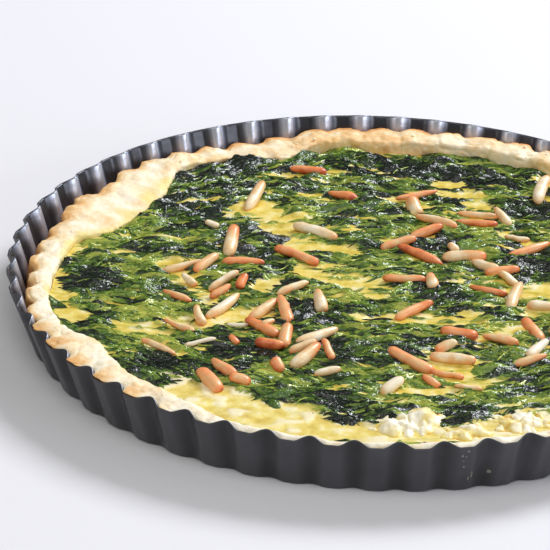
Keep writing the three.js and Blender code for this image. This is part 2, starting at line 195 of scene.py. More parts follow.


# Non-stick coating on steel: charcoal and satin, with faint scuffed patches, painted shade in the grooves at
# the cusps and a little orange peel. Inside it is glossier, with pale grey painted highlights on the ridges
# and stains between them.
def non_stick_coating():
    material, shader, place = start_material("non_stick_coated_steel")
    rubbed = add_node(material, "ShaderNodeAttribute", {"attribute_name": "rubbed"}, {})
    ridge = add_node(material, "ShaderNodeAttribute", {"attribute_name": "ridge"}, {})
    cloud = add_node(material, "ShaderNodeTexNoise", {
        "Scale": 1 / (CLOUD_SIZE * MM), "Detail": 3}, {"Vector": place})
    # Painted shade: outside, the grooves at the cusps are painted darker, over faint scuffed patches.
    patches_and_painted_groove_shade = add_node(material, "ShaderNodeMath", {"operation": "MULTIPLY_ADD", 1: -0.4}, {
        0: ridge.outputs["Fac"], 2: cloud.outputs["Fac"]})
    grime = add_node(material, "ShaderNodeTexNoise", {
        "Scale": 1 / (GRIME_SIZE * MM), "Detail": 5}, {"Vector": place})
    outside = add_node(material, "ShaderNodeValToRGB", {
        "stops": [(0.1, "#313134"), (0.4, "#434347"), (0.7, "#4e4e53")]}, {"Fac": patches_and_painted_groove_shade.outputs[0]})
    # Painted highlight: inside, the ridges are painted pale grey over the stains.
    stains_and_painted_highlights = add_node(material, "ShaderNodeMath", {"operation": "MULTIPLY_ADD", 1: 0.5}, {
        0: grime.outputs["Fac"], 2: ridge.outputs["Fac"]})
    inside = add_node(material, "ShaderNodeValToRGB", {"stops": [
        (0.25, "#414349"), (0.6, "#5f636d"), (0.9, "#a6adc0"), (1, "#cad2e2")]}, {"Fac": stains_and_painted_highlights.outputs[0]})
    colour = add_node(material, "ShaderNodeMix", {"data_type": "RGBA"}, {
        0: rubbed.outputs["Fac"], 6: outside.outputs["Color"], 7: inside.outputs["Color"]})
    join(material, colour.outputs[2], shader.inputs["Base Color"])
    metal = add_node(material, "ShaderNodeMapRange", {"To Min": 0.3, "To Max": 0.6}, {
        "Value": rubbed.outputs["Fac"]})
    join(material, metal.outputs["Result"], shader.inputs["Metallic"])
    dull = add_node(material, "ShaderNodeMapRange", {"To Min": 0.42, "To Max": 0.3}, {
        "Value": rubbed.outputs["Fac"]})
    join(material, dull.outputs["Result"], shader.inputs["Roughness"])
    orange_peel = add_node(material, "ShaderNodeTexNoise", {
        "Scale": 1 / (ORANGE_PEEL_SIZE * MM), "Detail": 2}, {"Vector": place})
    bump = add_node(material, "ShaderNodeBump", {"Strength": 0.08, "Distance": 0.0003}, {
        "Height": orange_peel.outputs["Fac"]})
    join(material, bump.outputs["Normal"], shader.inputs["Normal"])
    return material


tin_points, tin_faces, tin_shades = tin_mesh()
tin = make_piece("fluted_tin", tin_points, tin_faces, non_stick_coating(), **tin_shades)
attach(tin, "root")
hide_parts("tin")


# ----------------------------------------
# Pastry case: butter shortcrust pressed into the tin by hand. It stands flush with the rim at the
# front, bulges over it at the front sides, and has shrunk away from the wall at the sides and back,
# where the rest of the flutes still shows on its outside.
# ----------------------------------------
CRUST_GAP = 0.15
CRUST_BOTTOM = 1.7
CRUST_FLOOR = 3
CRUST_FOOT_RADIUS = 124
CRUST_COLUMNS_PER_FLUTE = 22
TOP_BELOW_RIM = 0.3
SHRUNK_DROP = 1.5
SHRINK_FROM = 62
SHRINK_TO = 88
SHRUNK_RADIUS = 131
SHRUNK_FLUTE = 2
BULGE_FROM = 30
BULGE_TO = 70
BULGE_FADE = 9
BULGE_HEIGHT = 1.5
BULGE_WIDTH = 1.4
BULGE_CLEARANCE = 0.35
LIP_DRAWN_IN = 0.25
SHOULDER_DROP = 1.8
LOBE_RISE = 0.5
INNER_RADIUS = 134
THIN_MIDDLE = 8
FIRST_STEP = {"from": 22, "to": 46, "width": 6.5}
SECOND_STEP = {"from": 68, "to": 95, "width": 8}
LEANING_FOLD = {"angle": -118.5, "spread": 16, "amount": 15, "sharpness": 4}
LOW_STRETCH = {"angle": -156, "spread": 11, "amount": 3.2, "sharpness": 2}
WAIST = {"angle": -106, "spread": 9, "amount": 3, "sharpness": 2}
NOTCH = {"angle": -123, "spread": 3.5, "amount": 4, "sharpness": 2}
NEARER_BACK = {"angle": 145, "spread": 42, "amount": 3.2, "sharpness": 2}
HIGHER_BACK = {"angle": 150, "spread": 35, "amount": 0.9, "sharpness": 2}
THICK_SPOTS = [
    {"angle": -162, "spread": 5, "amount": 7, "sharpness": 2},
    {"angle": 176, "spread": 7, "amount": 4, "sharpness": 2},
    {"angle": -55, "spread": 6, "amount": 5, "sharpness": 2},
]
NEARER_BACK_INSIDE = 0.8
CREST_SHARE = 0.45
FOLD_CREST_SHARE = 0.8
FOLD_DROP = 1.6
CRUST_EASED_FROM = 22.8
CRUST_EASE = 0.5
# A real crumb is half as wide, but it would not show.
CRUMB_GRAIN = 1.8
SOFT_DEPTH = 1.5
TOP_LUMPS = {"cycles": 23, "reach": 0.45}
INNER_LUMPS = {"cycles": 17, "reach": 0.8}
OUTER_LUMPS = {"cycles": 19, "reach": 0.6}


def smooth_step(low, high, value):
    share = np.clip((np.asarray(value, float) - low) / (high - low), 0, 1)
    return share * share * (3 - 2 * share)


def soft_noise(points, size, seed):
    """Smooth unevenness between -1 and 1 whose lumps are about size millimetres wide."""
    cells = 64
    table = np.random.default_rng(seed).uniform(-1, 1, (cells, cells, cells))
    scaled = np.asarray(points, float) / size
    cell = np.floor(scaled).astype(int)
    share = scaled - cell
    share = share * share * (3 - 2 * share)
    total = np.zeros(scaled.shape[:-1])
    for corner in itertools.product((0, 1), repeat=3):
        weight = np.prod(np.where(corner, share, 1 - share), axis=-1)
        x, y, z = np.moveaxis((cell + corner) % cells, -1, 0)
        total += weight * table[x, y, z]
    return total


def change_at(place, angles):
    """How much a named place changes the pastry, fading away on both sides of it."""
    away = np.abs(angles - place["angle"])
    shortest = np.minimum(away, 360 - away)
    return place["amount"] * np.exp(-((shortest / place["spread"]) ** place["sharpness"]))


def lumpiness(lumps, angles):
    turn = np.radians(angles)
    # How much finer each wave is, its share and where it starts.
    waves = ((1, 0.5, 1), (1.7, 0.3, 2.3), (2.9, 0.2, 0))
    return lumps["reach"] * sum(
        share * np.sin(round(finer * lumps["cycles"]) * turn + start) for finer, share, start in waves)


def shrinkage(angles):
    return smooth_step(SHRINK_FROM, SHRINK_TO, np.abs(angles))


def bulge(angles):
    away = np.abs(angles)
    return (smooth_step(BULGE_FROM, BULGE_FROM + BULGE_FADE, away)
            * (1 - smooth_step(BULGE_TO - BULGE_FADE, BULGE_TO, away)))


def crust_top(angles):
    raised = BULGE_HEIGHT * bulge(angles) + change_at(HIGHER_BACK, angles)
    sunk = TOP_BELOW_RIM + SHRUNK_DROP * shrinkage(angles) + change_at(LOW_STRETCH, angles)
    return TIN_HEIGHT + raised - sunk + lumpiness(TOP_LUMPS, angles)


def crust_inner_radius(angles):
    first = smooth_step(FIRST_STEP["from"], FIRST_STEP["to"], np.abs(angles - THIN_MIDDLE))
    second = smooth_step(SECOND_STEP["from"], SECOND_STEP["to"], np.abs(angles))
    steps = FIRST_STEP["width"] * first + SECOND_STEP["width"] * second
    moved = NEARER_BACK_INSIDE * change_at(NEARER_BACK, angles) - change_at(LEANING_FOLD, angles)
    thicker = sum(change_at(spot, angles) for spot in THICK_SPOTS)
    return INNER_RADIUS - steps + moved - thicker + first * lumpiness(INNER_LUMPS, angles)


def crust_outer_radius(angles, heights):
    shrunk = shrinkage(angles) * smooth_step(0, TIN_HEIGHT, heights)
    in_tin = tin_radius(angles, heights) - TIN_SHEET - CRUST_GAP
    moved = change_at(NEARER_BACK, angles) - change_at(WAIST, angles) - change_at(NOTCH, angles)
    echo = SHRUNK_RADIUS - SHRUNK_FLUTE * flute_share(angles) + lumpiness(OUTER_LUMPS, angles)
    return np.minimum(between(in_tin, echo + moved, shrunk), in_tin)


def cut_corners(rows):
    """The same line with every corner cut off, and its two ends kept."""
    near = 0.75 * rows[:-1] + 0.25 * rows[1:]
    far = 0.25 * rows[:-1] + 0.75 * rows[1:]
    cut = np.stack([near, far], 1).reshape(-1, *rows.shape[1:])
    return np.concatenate([rows[:1], cut[1:-1], rows[-1:]])


def crust_line(angles, top, over, lean):
    """Rows of radii and heights from under the case over its rim to its floor, its lip and its crest."""
    crest = between(CREST_SHARE, FOLD_CREST_SHARE, lean)
    shoulder = between(top - SHOULDER_DROP, TIN_HEIGHT + BULGE_CLEARANCE, over)
    outer = crust_outer_radius(angles, np.minimum(shoulder, TIN_HEIGHT))
    inner = crust_inner_radius(angles)
    lip = outer + BULGE_WIDTH * over - LIP_DRAWN_IN * (1 - over)
    floor = np.full(angles.size, CRUST_BOTTOM + CRUST_FLOOR)
    bottom = np.full(angles.size, CRUST_BOTTOM)
    foot = np.minimum(inner, CRUST_FOOT_RADIUS)
    half_way = between(CRUST_BOTTOM, shoulder, 0.5)
    line = np.array([
        [crust_outer_radius(angles, bottom) - 4, bottom],
        [crust_outer_radius(angles, bottom), bottom],
        [crust_outer_radius(angles, half_way), half_way],
        [outer, shoulder],
        [lip, between(shoulder, top, 0.6)],
        [between(inner, lip, between(crest, 1, 0.5)), top],
        [between(inner, lip, crest), top + 0.25],
        [inner + 0.3, top - 0.3 - FOLD_DROP * lean],
        [inner - 0.2, top - 2.4 - FOLD_DROP * lean],
        [between(inner, foot, 0.5), between(top, floor, 0.6)],
        [foot, floor],
    ]).swapaxes(1, 2)
    for _ in range(3):
        line = cut_corners(line)
    return line, lip, between(inner, lip, crest)


def crust_browning_and_painted_shade(angles, across, over, lean):
    """How much browner the outer edge, the lobes, the back and the leaning fold are than the front, with
    painted shade on the back's inner face.
    """
    away = np.abs(angles)
    brown = 0.5 * smooth_step(0.6, 1, across) * smooth_step(55, 75, away)
    brown = brown + 0.55 * over * smooth_step(0.2, 0.9, across)
    brown = brown + 0.17 * smooth_step(140, 165, np.abs(angles - 10)) + 0.05 * lean
    # Painted shade: the inner face of the case at the back is painted browner.
    brown = brown + 0.06 * smooth_step(125, 145, away) * (1 - smooth_step(0, 0.4, across))
    return brown + 0.08 * smooth_step(25, 40, away) - 0.1 * (1 - smooth_step(20, 32, away))


def crust_mesh():
    columns = FLUTE_COUNT * CRUST_COLUMNS_PER_FLUTE
    angles = FLUTE_START + np.arange(columns) * (360 / columns)
    angles = np.where(angles > 180, angles - 360, angles)
    lobe = 1 - flute_share(angles)
    top = crust_top(angles) + LOBE_RISE * (lobe - 0.6) * shrinkage(angles)
    over = bulge(angles) * np.maximum(2 * lobe - 1, 0)
    lean = change_at(LEANING_FOLD, angles) / LEANING_FOLD["amount"]
    line, lip, crest = crust_line(angles, top, over, lean)
    radii, heights = line[..., 0], line[..., 1]
    points = round_the_dish(angles, radii, heights)
    # Unevenness pushes the skin away from the middle of the rim, except low down where it is hidden.
    out, up = radii - crest, heights - (top - 5)
    length = np.hypot(out, up) + 1e-6
    shown = smooth_step(8, 15, heights)
    crease = 1 - smooth_step(0, 0.16, np.abs(soft_noise(points, 7, 17)))
    push = (0.75 * soft_noise(points, 8, 11) + 0.6 * soft_noise(points, 3.6, 12) - 0.45 * crease
            + 0.3 * soft_noise(points, 1.8, 13) + 0.15 * soft_noise(points, 0.9, 14))
    push = push * between(0.4, 0.85, smooth_step(14, 40, np.abs(angles)))
    radii = radii + shown * push * out / length
    heights = heights + shown * push * up / length
    # The highest lumps are eased down, and the skin stays clear of the tin's wall.
    above = np.maximum(heights - CRUST_EASED_FROM, 0)
    heights = heights - above + CRUST_EASE * np.tanh(above / CRUST_EASE)
    free = smooth_step(TIN_HEIGHT - 0.3, TIN_HEIGHT + 0.4, heights) * (over > 0)
    wall = tin_radius(angles, np.minimum(heights, TIN_HEIGHT)) - TIN_SHEET - CRUST_GAP
    radii = np.minimum(radii, between(wall, TIN_RIM_RADIUS - 0.1, free))
    points = round_the_dish(angles, radii, heights)
    ends = [[0, 0, CRUST_BOTTOM], [0, 0, CRUST_BOTTOM + CRUST_FLOOR]]
    inner = crust_inner_radius(angles)
    across = np.clip((radii - inner) / np.maximum(lip - inner, 1), -1, 2)
    outside = smooth_step(0.6, 4, top - heights) * (across > 0.5)
    toast = 0.1 + 0.45 * outside + crust_browning_and_painted_shade(angles, across, over, lean)
    toast = toast + 0.2 * soft_noise(points, 10, 15) + 0.16 * soft_noise(points, 4, 16) + 0.1 * push
    film = smooth_step(-0.05, 0.35, 0.3 * soft_noise(points, 6, 18) - across + 0.15 + 0.12 * lean)
    film = film * (1 - 0.8 * smooth_step(140, 155, np.abs(angles)))
    shades = {"toast": toast, "egg": film}
    return (np.vstack([points.reshape(-1, 3), ends]), closed_rings(len(line), columns),
            {name: np.append(values.ravel(), [0, 0]) for name, values in shades.items()})


# Baked shortcrust: matt and short, cream where it stayed pale and golden to orange-brown where it
# caught the heat, with painted shade on the inner face at the back and a fine crumb that breaks the surface
# up. Egg has run onto its inner slope.
def baked_shortcrust():
    material, shader, place = start_material("baked_shortcrust")
    toast = add_node(material, "ShaderNodeAttribute", {"attribute_name": "toast"}, {})
    crumb = add_node(material, "ShaderNodeTexNoise", {
        "Scale": 1 / (CRUMB_GRAIN * MM), "Detail": 5, "Roughness": 0.6}, {"Vector": place})
    mottle = add_node(material, "ShaderNodeMapRange", {
        "From Min": 0.3, "From Max": 0.7, "To Min": -0.13, "To Max": 0.13}, {"Value": crumb.outputs["Fac"]})
    shade = add_node(material, "ShaderNodeMath", {"operation": "ADD"}, {
        0: toast.outputs["Fac"], 1: mottle.outputs["Result"]})
    colour = add_node(material, "ShaderNodeValToRGB", {"stops": [
        (0, "#fbf1da"), (0.25, "#f6e2bc"), (0.5, "#efc890"), (0.75, "#e2a964"), (1, "#c07e40")]}, {
        "Fac": shade.outputs[0]})
    egg = add_node(material, "ShaderNodeAttribute", {"attribute_name": "egg"}, {})
    thin = add_node(material, "ShaderNodeMath", {"operation": "MULTIPLY", 1: 0.75}, {0: egg.outputs["Fac"]})
    stained = add_node(material, "ShaderNodeMix", {"data_type": "RGBA", 7: linear("#e6cf6c")}, {
        0: thin.outputs[0], 6: colour.outputs["Color"]})
    join(material, stained.outputs[2], shader.inputs["Base Color"])
    shader.inputs["Roughness"].default_value = 0.6
    shader.inputs["Subsurface Weight"].default_value = 0.1
    shader.inputs["Subsurface Radius"].default_value = (1, 0.7, 0.4)
    shader.inputs["Subsurface Scale"].default_value = SOFT_DEPTH * MM
    bump = add_node(material, "ShaderNodeBump", {"Strength": 0.45, "Distance": 0.0006}, {
        "Height": crumb.outputs["Fac"]})
    join(material, bump.outputs["Normal"], shader.inputs["Normal"])
    return material


crust_points, crust_faces, crust_shades = crust_mesh()
crust = make_piece("pastry_case", crust_points, crust_faces, baked_shortcrust(), **crust_shades)
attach(crust, "root")
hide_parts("crust")


# ----------------------------------------
# Filling: egg custard set round chopped spinach, which stands above it in wrinkled wet mats and
# leaves streaks of bare custard between them. Along the front the egg has set in curds.
# ----------------------------------------
FILLING_BELOW_RIM = 4.4
FILLING_TILT = 0.018
BROAD_SWELL = 0.5
MAT_LEVEL = 0.5
MAT_HEIGHT = 1.1
FILLING_BOTTOM = 5.55
FILLING_FOOT_RADIUS = CRUST_FOOT_RADIUS - 0.85
FILLING_CELL = 0.76
FILLING_GAP = 0.1
RAGGED_SIZE = 1.3
WAVE_SIZE = 5
# Streaks of bare custard, then clumps of dark spinach: both ends, x and y, and half the width.
CUSTARD_STREAKS = [
    (-121, -2, -118, -27, 4), (-114, -37, -112, -41, 7), (-115, 25, -115, 12, 4),
    (-100, 16, -95, 16, 3), (-80, 7, -66, -23, 5), (-73, -45, -40, -33, 6),
    (-97, -48, -75, -53, 4.5), (-84, -61, -74, -70, 3.5), (-45, -13, -39, -5, 4),
    (-46, 57, -30, 30, 9), (-30, 30, -8, 21, 5), (-23, 3, 1, -12, 8),
    (11, -35, 33, -34, 6), (38, -48, 52, -40, 5), (19, -69, 35, -82, 8),
    (7, -92, 25, -92, 4), (55, -6, 68, -10, 8), (3, 33, 17, 41, 5),
    (49, 45, 59, 34, 4), (3, 75, 19, 67, 4), (28, 88, 44, 62, 7),
    (7, 98, 9, 94, 4), (-26, 73, -15, 66, 4), (-36, 90, -33, 88, 4),
    (-67, -103, -28, -120, 12), (-24, -126, 31, -124, 7), (31, -124, 59, -114, 8),
    (90, 10, 100, -20, 6), (82, 60, 95, 40, 6), (75, -70, 88, -60, 6),
    (100, -50, 106, -30, 5), (70, 95, 78, 88, 5),
]
SPINACH_CLUMPS = [
    (-114, -5, -108, -12, 12), (-105, -56, -103, -58, 6), (-81, -82, -68, -87, 13),
    (-50, 29, -44, 18, 12), (-29, -31, -23, -33, 10), (-56, -68, -43, -67, 5),
    (6, -12, 16, -12, 9), (18, 33, 32, 34, 8), (58, 12, 62, 10, 14),
    (-18, -61, 4, -65, 9), (43, -82, 48, -80, 12), (11, 105, 13, 105, 9),
    (26, 103, 50, 97, 13), (-10, 70, 0, 69, 12), (-30, 108, 0, 109, 6),
    (-76, 87, -70, 92, 9), (-55, 100, -50, 100, 10), (-84, 51, -71, 50, 12),
    (58, 64, 62, 64, 10), (-81, 18, -66, 19, 5), (-37, -104, -1, -113, 10),
    (85, 30, 95, 20, 12), (80, -35, 90, -45, 12),
]
TALLEST_CURD = 3.4
# Curds: x, y, half width, half depth and height.
EGG_CURDS = [
    (7, -120, 10, 6, 2.6), (15, -114, 5, 6, 3.2), (30, -122, 8, 5, 2.2), (48, -114, 10, 7, 3),
    (-66, -106, 9, 5, 1.2), (-50, -116, 9, 5, 1.1), (72, -104, 9, 8, 2.8),
]


def crust_edge(x, y):
    """Inner radius of the crust in the direction of a place."""
    return crust_inner_radius(np.degrees(np.arctan2(x, -y)))


def streak_share(streaks, x, y):
    """1 in the middle of a streak, 0 away from all of them."""
    share = np.zeros(np.shape(x))
    for from_x, from_y, to_x, to_y, half_width in streaks:
        run_x, run_y = to_x - from_x, to_y - from_y
        along = ((x - from_x) * run_x + (y - from_y) * run_y) / (run_x ** 2 + run_y ** 2)
        nearest = np.clip(along, 0, 1)
        apart = np.hypot(x - from_x - nearest * run_x, y - from_y - nearest * run_y)
        share = np.maximum(share, 1 - smooth_step(0.6, 1.3, apart / half_width))
    return share


def filling_height(x, y):
    slope = TIN_HEIGHT - FILLING_BELOW_RIM - FILLING_TILT * y
    broad = BROAD_SWELL * np.sin(x / 31 + 0.6) * np.cos(y / 27)
    mats = np.sin(x / 4.1 + 2 * np.sin(y / 9)) * np.sin(y / 4.7 + 1.5 * np.sin(x / 11))
    bare = streak_share(CUSTARD_STREAKS, x, y)
    return slope + broad + (MAT_LEVEL + MAT_HEIGHT * mats) * (1 - bare)


def at(x, y, layer=0):
    """Flat places as points for the noise."""
    return np.stack(np.broadcast_arrays(x, y, float(layer)), -1)


def strands(x, y, length, width, seed):
    """Noise drawn out into strands, which run across the dish and follow its edge at the front."""
    bent_y = y * (1 + x ** 2 / (2 * TIN_RIM_RADIUS ** 2))
    return soft_noise(at(x * width / length, bent_y), width, seed)


def curd_share(x, y):
    """Height share of the curds: 1 on top of one, 0 off them."""
    share = np.zeros(np.shape(x))
    for curd_x, curd_y, half_width, half_depth, height in EGG_CURDS:
        reach = np.hypot((x - curd_x) / half_width, (y - curd_y) / half_depth)
        here = 1 - smooth_step(0.3, 1.1, reach + 0.3 * soft_noise(at(x, y), 4, 37))
        share = np.maximum(share, here * height / TALLEST_CURD)
    return share


def spinach_cover(x, y):
    """1 where spinach lies, 0 on bare custard, with ragged edges between."""
    ragged_x = x + 3.5 * soft_noise(at(x, y), 8, 21)
    ragged_y = y + 2.2 * soft_noise(at(x, y, 50), 8, 21)
    bare = streak_share(CUSTARD_STREAKS, ragged_x, ragged_y)
    gaps = 0.6 * strands(x, y, 15, 3.4, 23) + 0.4 * strands(x, y, 6, 1.6, 24)
    gaps = gaps - 0.35 * streak_share(SPINACH_CLUMPS, x, y)
    inner = 1 - smooth_step(100, 110, np.hypot(x, y))
    threads = (0.3 + 0.8 * inner) * strands(x, y, 13, 1.6, 26) + 0.45 * gaps
    covered = np.clip(1.1 - bare * (1.35 + threads) - smooth_step(0.18, 0.4, gaps), 0, 1)
    return covered * (1 - smooth_step(0, 0.3, curd_share(x, y)))


def spinach_tone(x, y):
    """0 in the blackest clumps, 1 on the palest strands."""
    drawn = 0.45 * strands(x, y, 10, 2, 43) + 0.35 * strands(x, y, 4.5, 1, 44)
    mats = 0.32 * soft_noise(at(x, y), 13, 42)
    thin = 0.2 * (1 - smooth_step(0.35, 0.95, spinach_cover(x, y)))
    return 0.47 + drawn + mats + thin - 0.28 * streak_share(SPINACH_CLUMPS, x, y)


def curd_specks(x, y):
    """Small cream specks of curd in the bare custard along the front."""
    front = smooth_step(98, 112, np.hypot(x, y)) * smooth_step(60, 90, -y)
    return front * (0.1 + 0.9 * smooth_step(0.05, 0.5, soft_noise(at(x / 1.6, y), 3.2, 36)))


def surface_height(x, y):
    """Top of the filling with its wrinkled spinach and its curds."""
    folds = 1 - np.abs(strands(x, y, 9, 5, 31)) * 2
    creases = 1 - np.abs(strands(x, y, 7, 2.4, 32)) * 2
    wrinkles = 0.6 * folds + 0.5 * creases + 0.25 * strands(x, y, 3, 1.4, 33)
    return (filling_height(x, y) + spinach_cover(x, y) * wrinkles - 0.3 + 0.5 * curd_specks(x, y)
            + 1.6 * curd_share(x, y))


def grid_quads(rows, columns):
    """Quads between the points of a grid."""
    grid = np.arange(rows * columns).reshape(rows, columns)
    return np.stack([grid[:-1, :-1], grid[:-1, 1:], grid[1:, 1:], grid[1:, :-1]], -1).reshape(-1, 4)


def filling_mesh():
    reach = TIN_RIM_RADIUS - 4
    steps = np.arange(-reach, reach + FILLING_CELL, FILLING_CELL)
    x, y = (spot.ravel() for spot in np.meshgrid(steps, steps))
    edge = crust_edge(x, y) - FILLING_GAP
    radii = np.hypot(x, y)
    inside = radii < edge
    quads = grid_quads(len(steps), len(steps))
    quads = quads[inside[quads].sum(1) >= 2]
    used, index = np.unique(quads, return_inverse=True)
    quads = index.reshape(-1, 4)
    pull = np.where(inside, 1, edge / radii)[used]
    x, y = x[used] * pull, y[used] * pull
    points = np.stack([x, y, surface_height(x, y)], -1)
    # The open edge goes down to a smaller ring on the pastry's floor and closes in its middle.
    sides = np.concatenate([quads[:, [corner, (corner + 1) % 4]] for corner in range(4)])
    sides = {(a, b) for a, b in sides.tolist()}
    rim = [(a, b) for a, b in sides if (b, a) not in sides]
    under = {a: len(points) + place for place, (a, _) in enumerate(rim)}
    low = points[list(under)].copy()
    low[:, :2] *= np.minimum(1, FILLING_FOOT_RADIUS / np.hypot(low[:, 0], low[:, 1]))[:, None]
    low[:, 2] = FILLING_BOTTOM
    middle = len(points) + len(low)
    faces = quads.tolist()
    faces += [[b, a, under[a], under[b]] for a, b in rim]
    faces += [[under[b], under[a], middle] for a, b in rim]
    points = np.vstack([points, low, [[0, 0, FILLING_BOTTOM]]])
    hidden = np.zeros(len(low) + 1)
    curd = np.maximum(0.4 * curd_share(x, y), 0.75 * curd_specks(x, y))
    shades = {"cover": spinach_cover(x, y), "tone": spinach_tone(x, y), "curd": curd}
    return points, faces, {name: np.append(values, hidden) for name, values in shades.items()}


# Set egg custard: smooth and moist, egg yellow, cream on the curds and olive where spinach juice
# ran into it. The chopped spinach in it is nearly black, with paler strands drawn through it.
def custard_and_spinach():
    material, shader, place = start_material("set_custard_with_spinach")
    cover, tone, curd = (
        add_node(material, "ShaderNodeAttribute", {"attribute_name": name}, {}).outputs["Fac"]
        for name in ("cover", "tone", "curd"))
    fine = add_node(material, "ShaderNodeTexNoise", {
        "Scale": 1 / (RAGGED_SIZE * MM), "Detail": 4}, {"Vector": place})
    wide = add_node(material, "ShaderNodeTexNoise", {
        "Scale": 1 / (WAVE_SIZE * MM), "Detail": 5}, {"Vector": place})
    ragged = add_node(material, "ShaderNodeMapRange", {
        "From Min": 0.3, "From Max": 0.7, "To Min": -0.3, "To Max": 0.3}, {"Value": fine.outputs["Fac"]})
    share = add_node(material, "ShaderNodeMath", {"operation": "ADD"}, {
        0: cover, 1: ragged.outputs["Result"]})
    edge = add_node(material, "ShaderNodeMapRange", {"From Min": 0.4, "From Max": 0.62}, {
        "Value": share.outputs[0]})
    bare = add_node(material, "ShaderNodeValToRGB", {"stops": [
        (0.3, "#ceb24a"), (0.45, "#e3ca5c"), (0.58, "#eedc84"), (0.7, "#f7ecc0")]}, {
        "Fac": wide.outputs["Fac"]})
    juice = add_node(material, "ShaderNodeMapRange", {"From Min": 0.05, "From Max": 0.6, "To Max": 0.75}, {
        "Value": cover})
    custard = add_node(material, "ShaderNodeMix", {"data_type": "RGBA", 7: linear("#98a02c")}, {
        0: juice.outputs["Result"], 6: bare.outputs["Color"]})
    pale = add_node(material, "ShaderNodeMix", {"data_type": "RGBA", 7: linear("#faf1d2")}, {
        0: curd, 6: custard.outputs[2]})
    strand = add_node(material, "ShaderNodeMath", {"operation": "ADD"}, {
        0: tone, 1: ragged.outputs["Result"]})
    spinach = add_node(material, "ShaderNodeValToRGB", {"stops": [
        (0.1, "#1a2317"), (0.32, "#31461d"), (0.52, "#537228"), (0.72, "#849c38"), (0.92, "#babc50")]}, {
        "Fac": strand.outputs[0]})
    colour = add_node(material, "ShaderNodeMix", {"data_type": "RGBA"}, {
        0: edge.outputs["Result"], 6: pale.outputs[2], 7: spinach.outputs["Color"]})
    join(material, colour.outputs[2], shader.inputs["Base Color"])
    shader.inputs["Roughness"].default_value = 0.24
    shader.inputs["Specular IOR Level"].default_value = 0.4
    shader.inputs["Subsurface Weight"].default_value = 0.08
    shader.inputs["Subsurface Radius"].default_value = (1, 0.8, 0.2)
    shader.inputs["Subsurface Scale"].default_value = SOFT_DEPTH * MM
    rough = add_node(material, "ShaderNodeMath", {"operation": "MULTIPLY"}, {
        0: fine.outputs["Fac"], 1: edge.outputs["Result"]})
    waves = add_node(material, "ShaderNodeMath", {"operation": "MULTIPLY_ADD", 1: 1.2}, {
        0: wide.outputs["Fac"], 2: rough.outputs[0]})
    bump = add_node(material, "ShaderNodeBump", {"Strength": 0.5, "Distance": 0.0008}, {
        "Height": waves.outputs[0]})
    join(material, bump.outputs["Normal"], shader.inputs["Normal"])
    return material


filling_points, filling_faces, filling_shades = filling_mesh()
filling = make_piece("custard", filling_points, filling_faces, custard_and_spinach(), **filling_shades)
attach(filling, "root")
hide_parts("filling")


# ----------------------------------------
# Curds: soft lumps of egg and cheese that rose to the top along the front and set together into
# uneven heaps, with yellow custard and painted shade in their hollows and at their low edges. A few baked
# brown at the tips.
# ----------------------------------------
CURD_AREA = {"x": (-82, 86), "y": (-132, -92)}
CURD_CELL = 0.4
GRAINS_PER_CURD = 20
GRAIN_RADII = (2.2, 4.8)
GRAIN_SQUASH = 0.58
GRAIN_MERGING = 6
CURD_SUNK = 0.4
CURD_GRAIN = 1
LOWEST_HEAP = 2
# Baked tips: x, y and radius.
BAKED_TIPS = [(19.5, -111, 2.4), (33, -119, 1.3)]


def keep_inside(points, margin):
    """Points pulled in where they would run into the pastry."""
    x, y = points[..., 0], points[..., 1]
    pull = np.minimum(1, (crust_edge(x, y) - margin) / np.maximum(np.hypot(x, y), 1e-6))
    points[..., 0] *= pull
    points[..., 1] *= pull
    return points


def curd_lumps(x, y):
    """Height of the grains where they have set together, 0 between the heaps."""
    random = np.random.default_rng(71)
    ragged_x = x + 0.8 * soft_noise(at(x, y), 2, 74)
    ragged_y = y + 0.8 * soft_noise(at(x, y, 50), 2, 74)
    merged = np.zeros_like(x)
    for curd_x, curd_y, half_width, half_depth, height in EGG_CURDS:
        for _ in range(GRAINS_PER_CURD if height > LOWEST_HEAP else 0):
            out, turn = math.sqrt(random.uniform(0, 1)), random.uniform(0, 2 * math.pi)
            size = random.uniform(*GRAIN_RADII) * (1.1 - 0.4 * out)
            apart = np.hypot(ragged_x - curd_x - out * half_width * math.cos(turn),
                             ragged_y - curd_y - out * half_depth * math.sin(turn)) / size
            tall = GRAIN_SQUASH * size * height / TALLEST_CURD
            merged += (tall * np.sqrt(np.clip(1 - apart ** 2, 0, 1))) ** GRAIN_MERGING
    return merged ** (1 / GRAIN_MERGING)


def curd_mesh():
    """One uneven skin over the grains, which sinks into the custard round every heap."""
    x, y = np.meshgrid(np.arange(*CURD_AREA["x"], CURD_CELL), np.arange(*CURD_AREA["y"], CURD_CELL))
    lumps = curd_lumps(x, y)
    quads = grid_quads(*x.shape)
    shown = (lumps > 0) & (np.hypot(x, y) < crust_edge(x, y) + 1)
    used, index = np.unique(quads[shown.ravel()[quads].any(1)], return_inverse=True)
    x, y, lumps = x.ravel()[used], y.ravel()[used], lumps.ravel()[used]
    hollow = 1 - smooth_step(0.02, 0.3, np.abs(soft_noise(at(x, y), 3.6, 77)))
    rough = 0.3 * soft_noise(at(x, y), 1.8, 75) + 0.15 * soft_noise(at(x, y), 0.9, 76) - 0.7 * hollow
    height = surface_height(x, y) + lumps + rough * smooth_step(0.4, 1.2, lumps) - CURD_SUNK
    points = keep_inside(np.stack([x, y, height], -1), 0.4)
    # Painted shade: the low edges of the heaps and the hollows between grains are painted yellower, partly
    # as custard that ran into them.
    browned = 0.12 + 0.35 * (1 - smooth_step(0.4, 1.3, lumps)) + 0.3 * hollow
    browned = browned + 0.4 * soft_noise(at(x, y), 4, 73)
    for tip_x, tip_y, radius in BAKED_TIPS:
        browned = np.maximum(browned, 1 - smooth_step(0.3, 1.2, np.hypot(x - tip_x, y - tip_y) / radius))
    return points, index.reshape(-1, 4).tolist(), browned
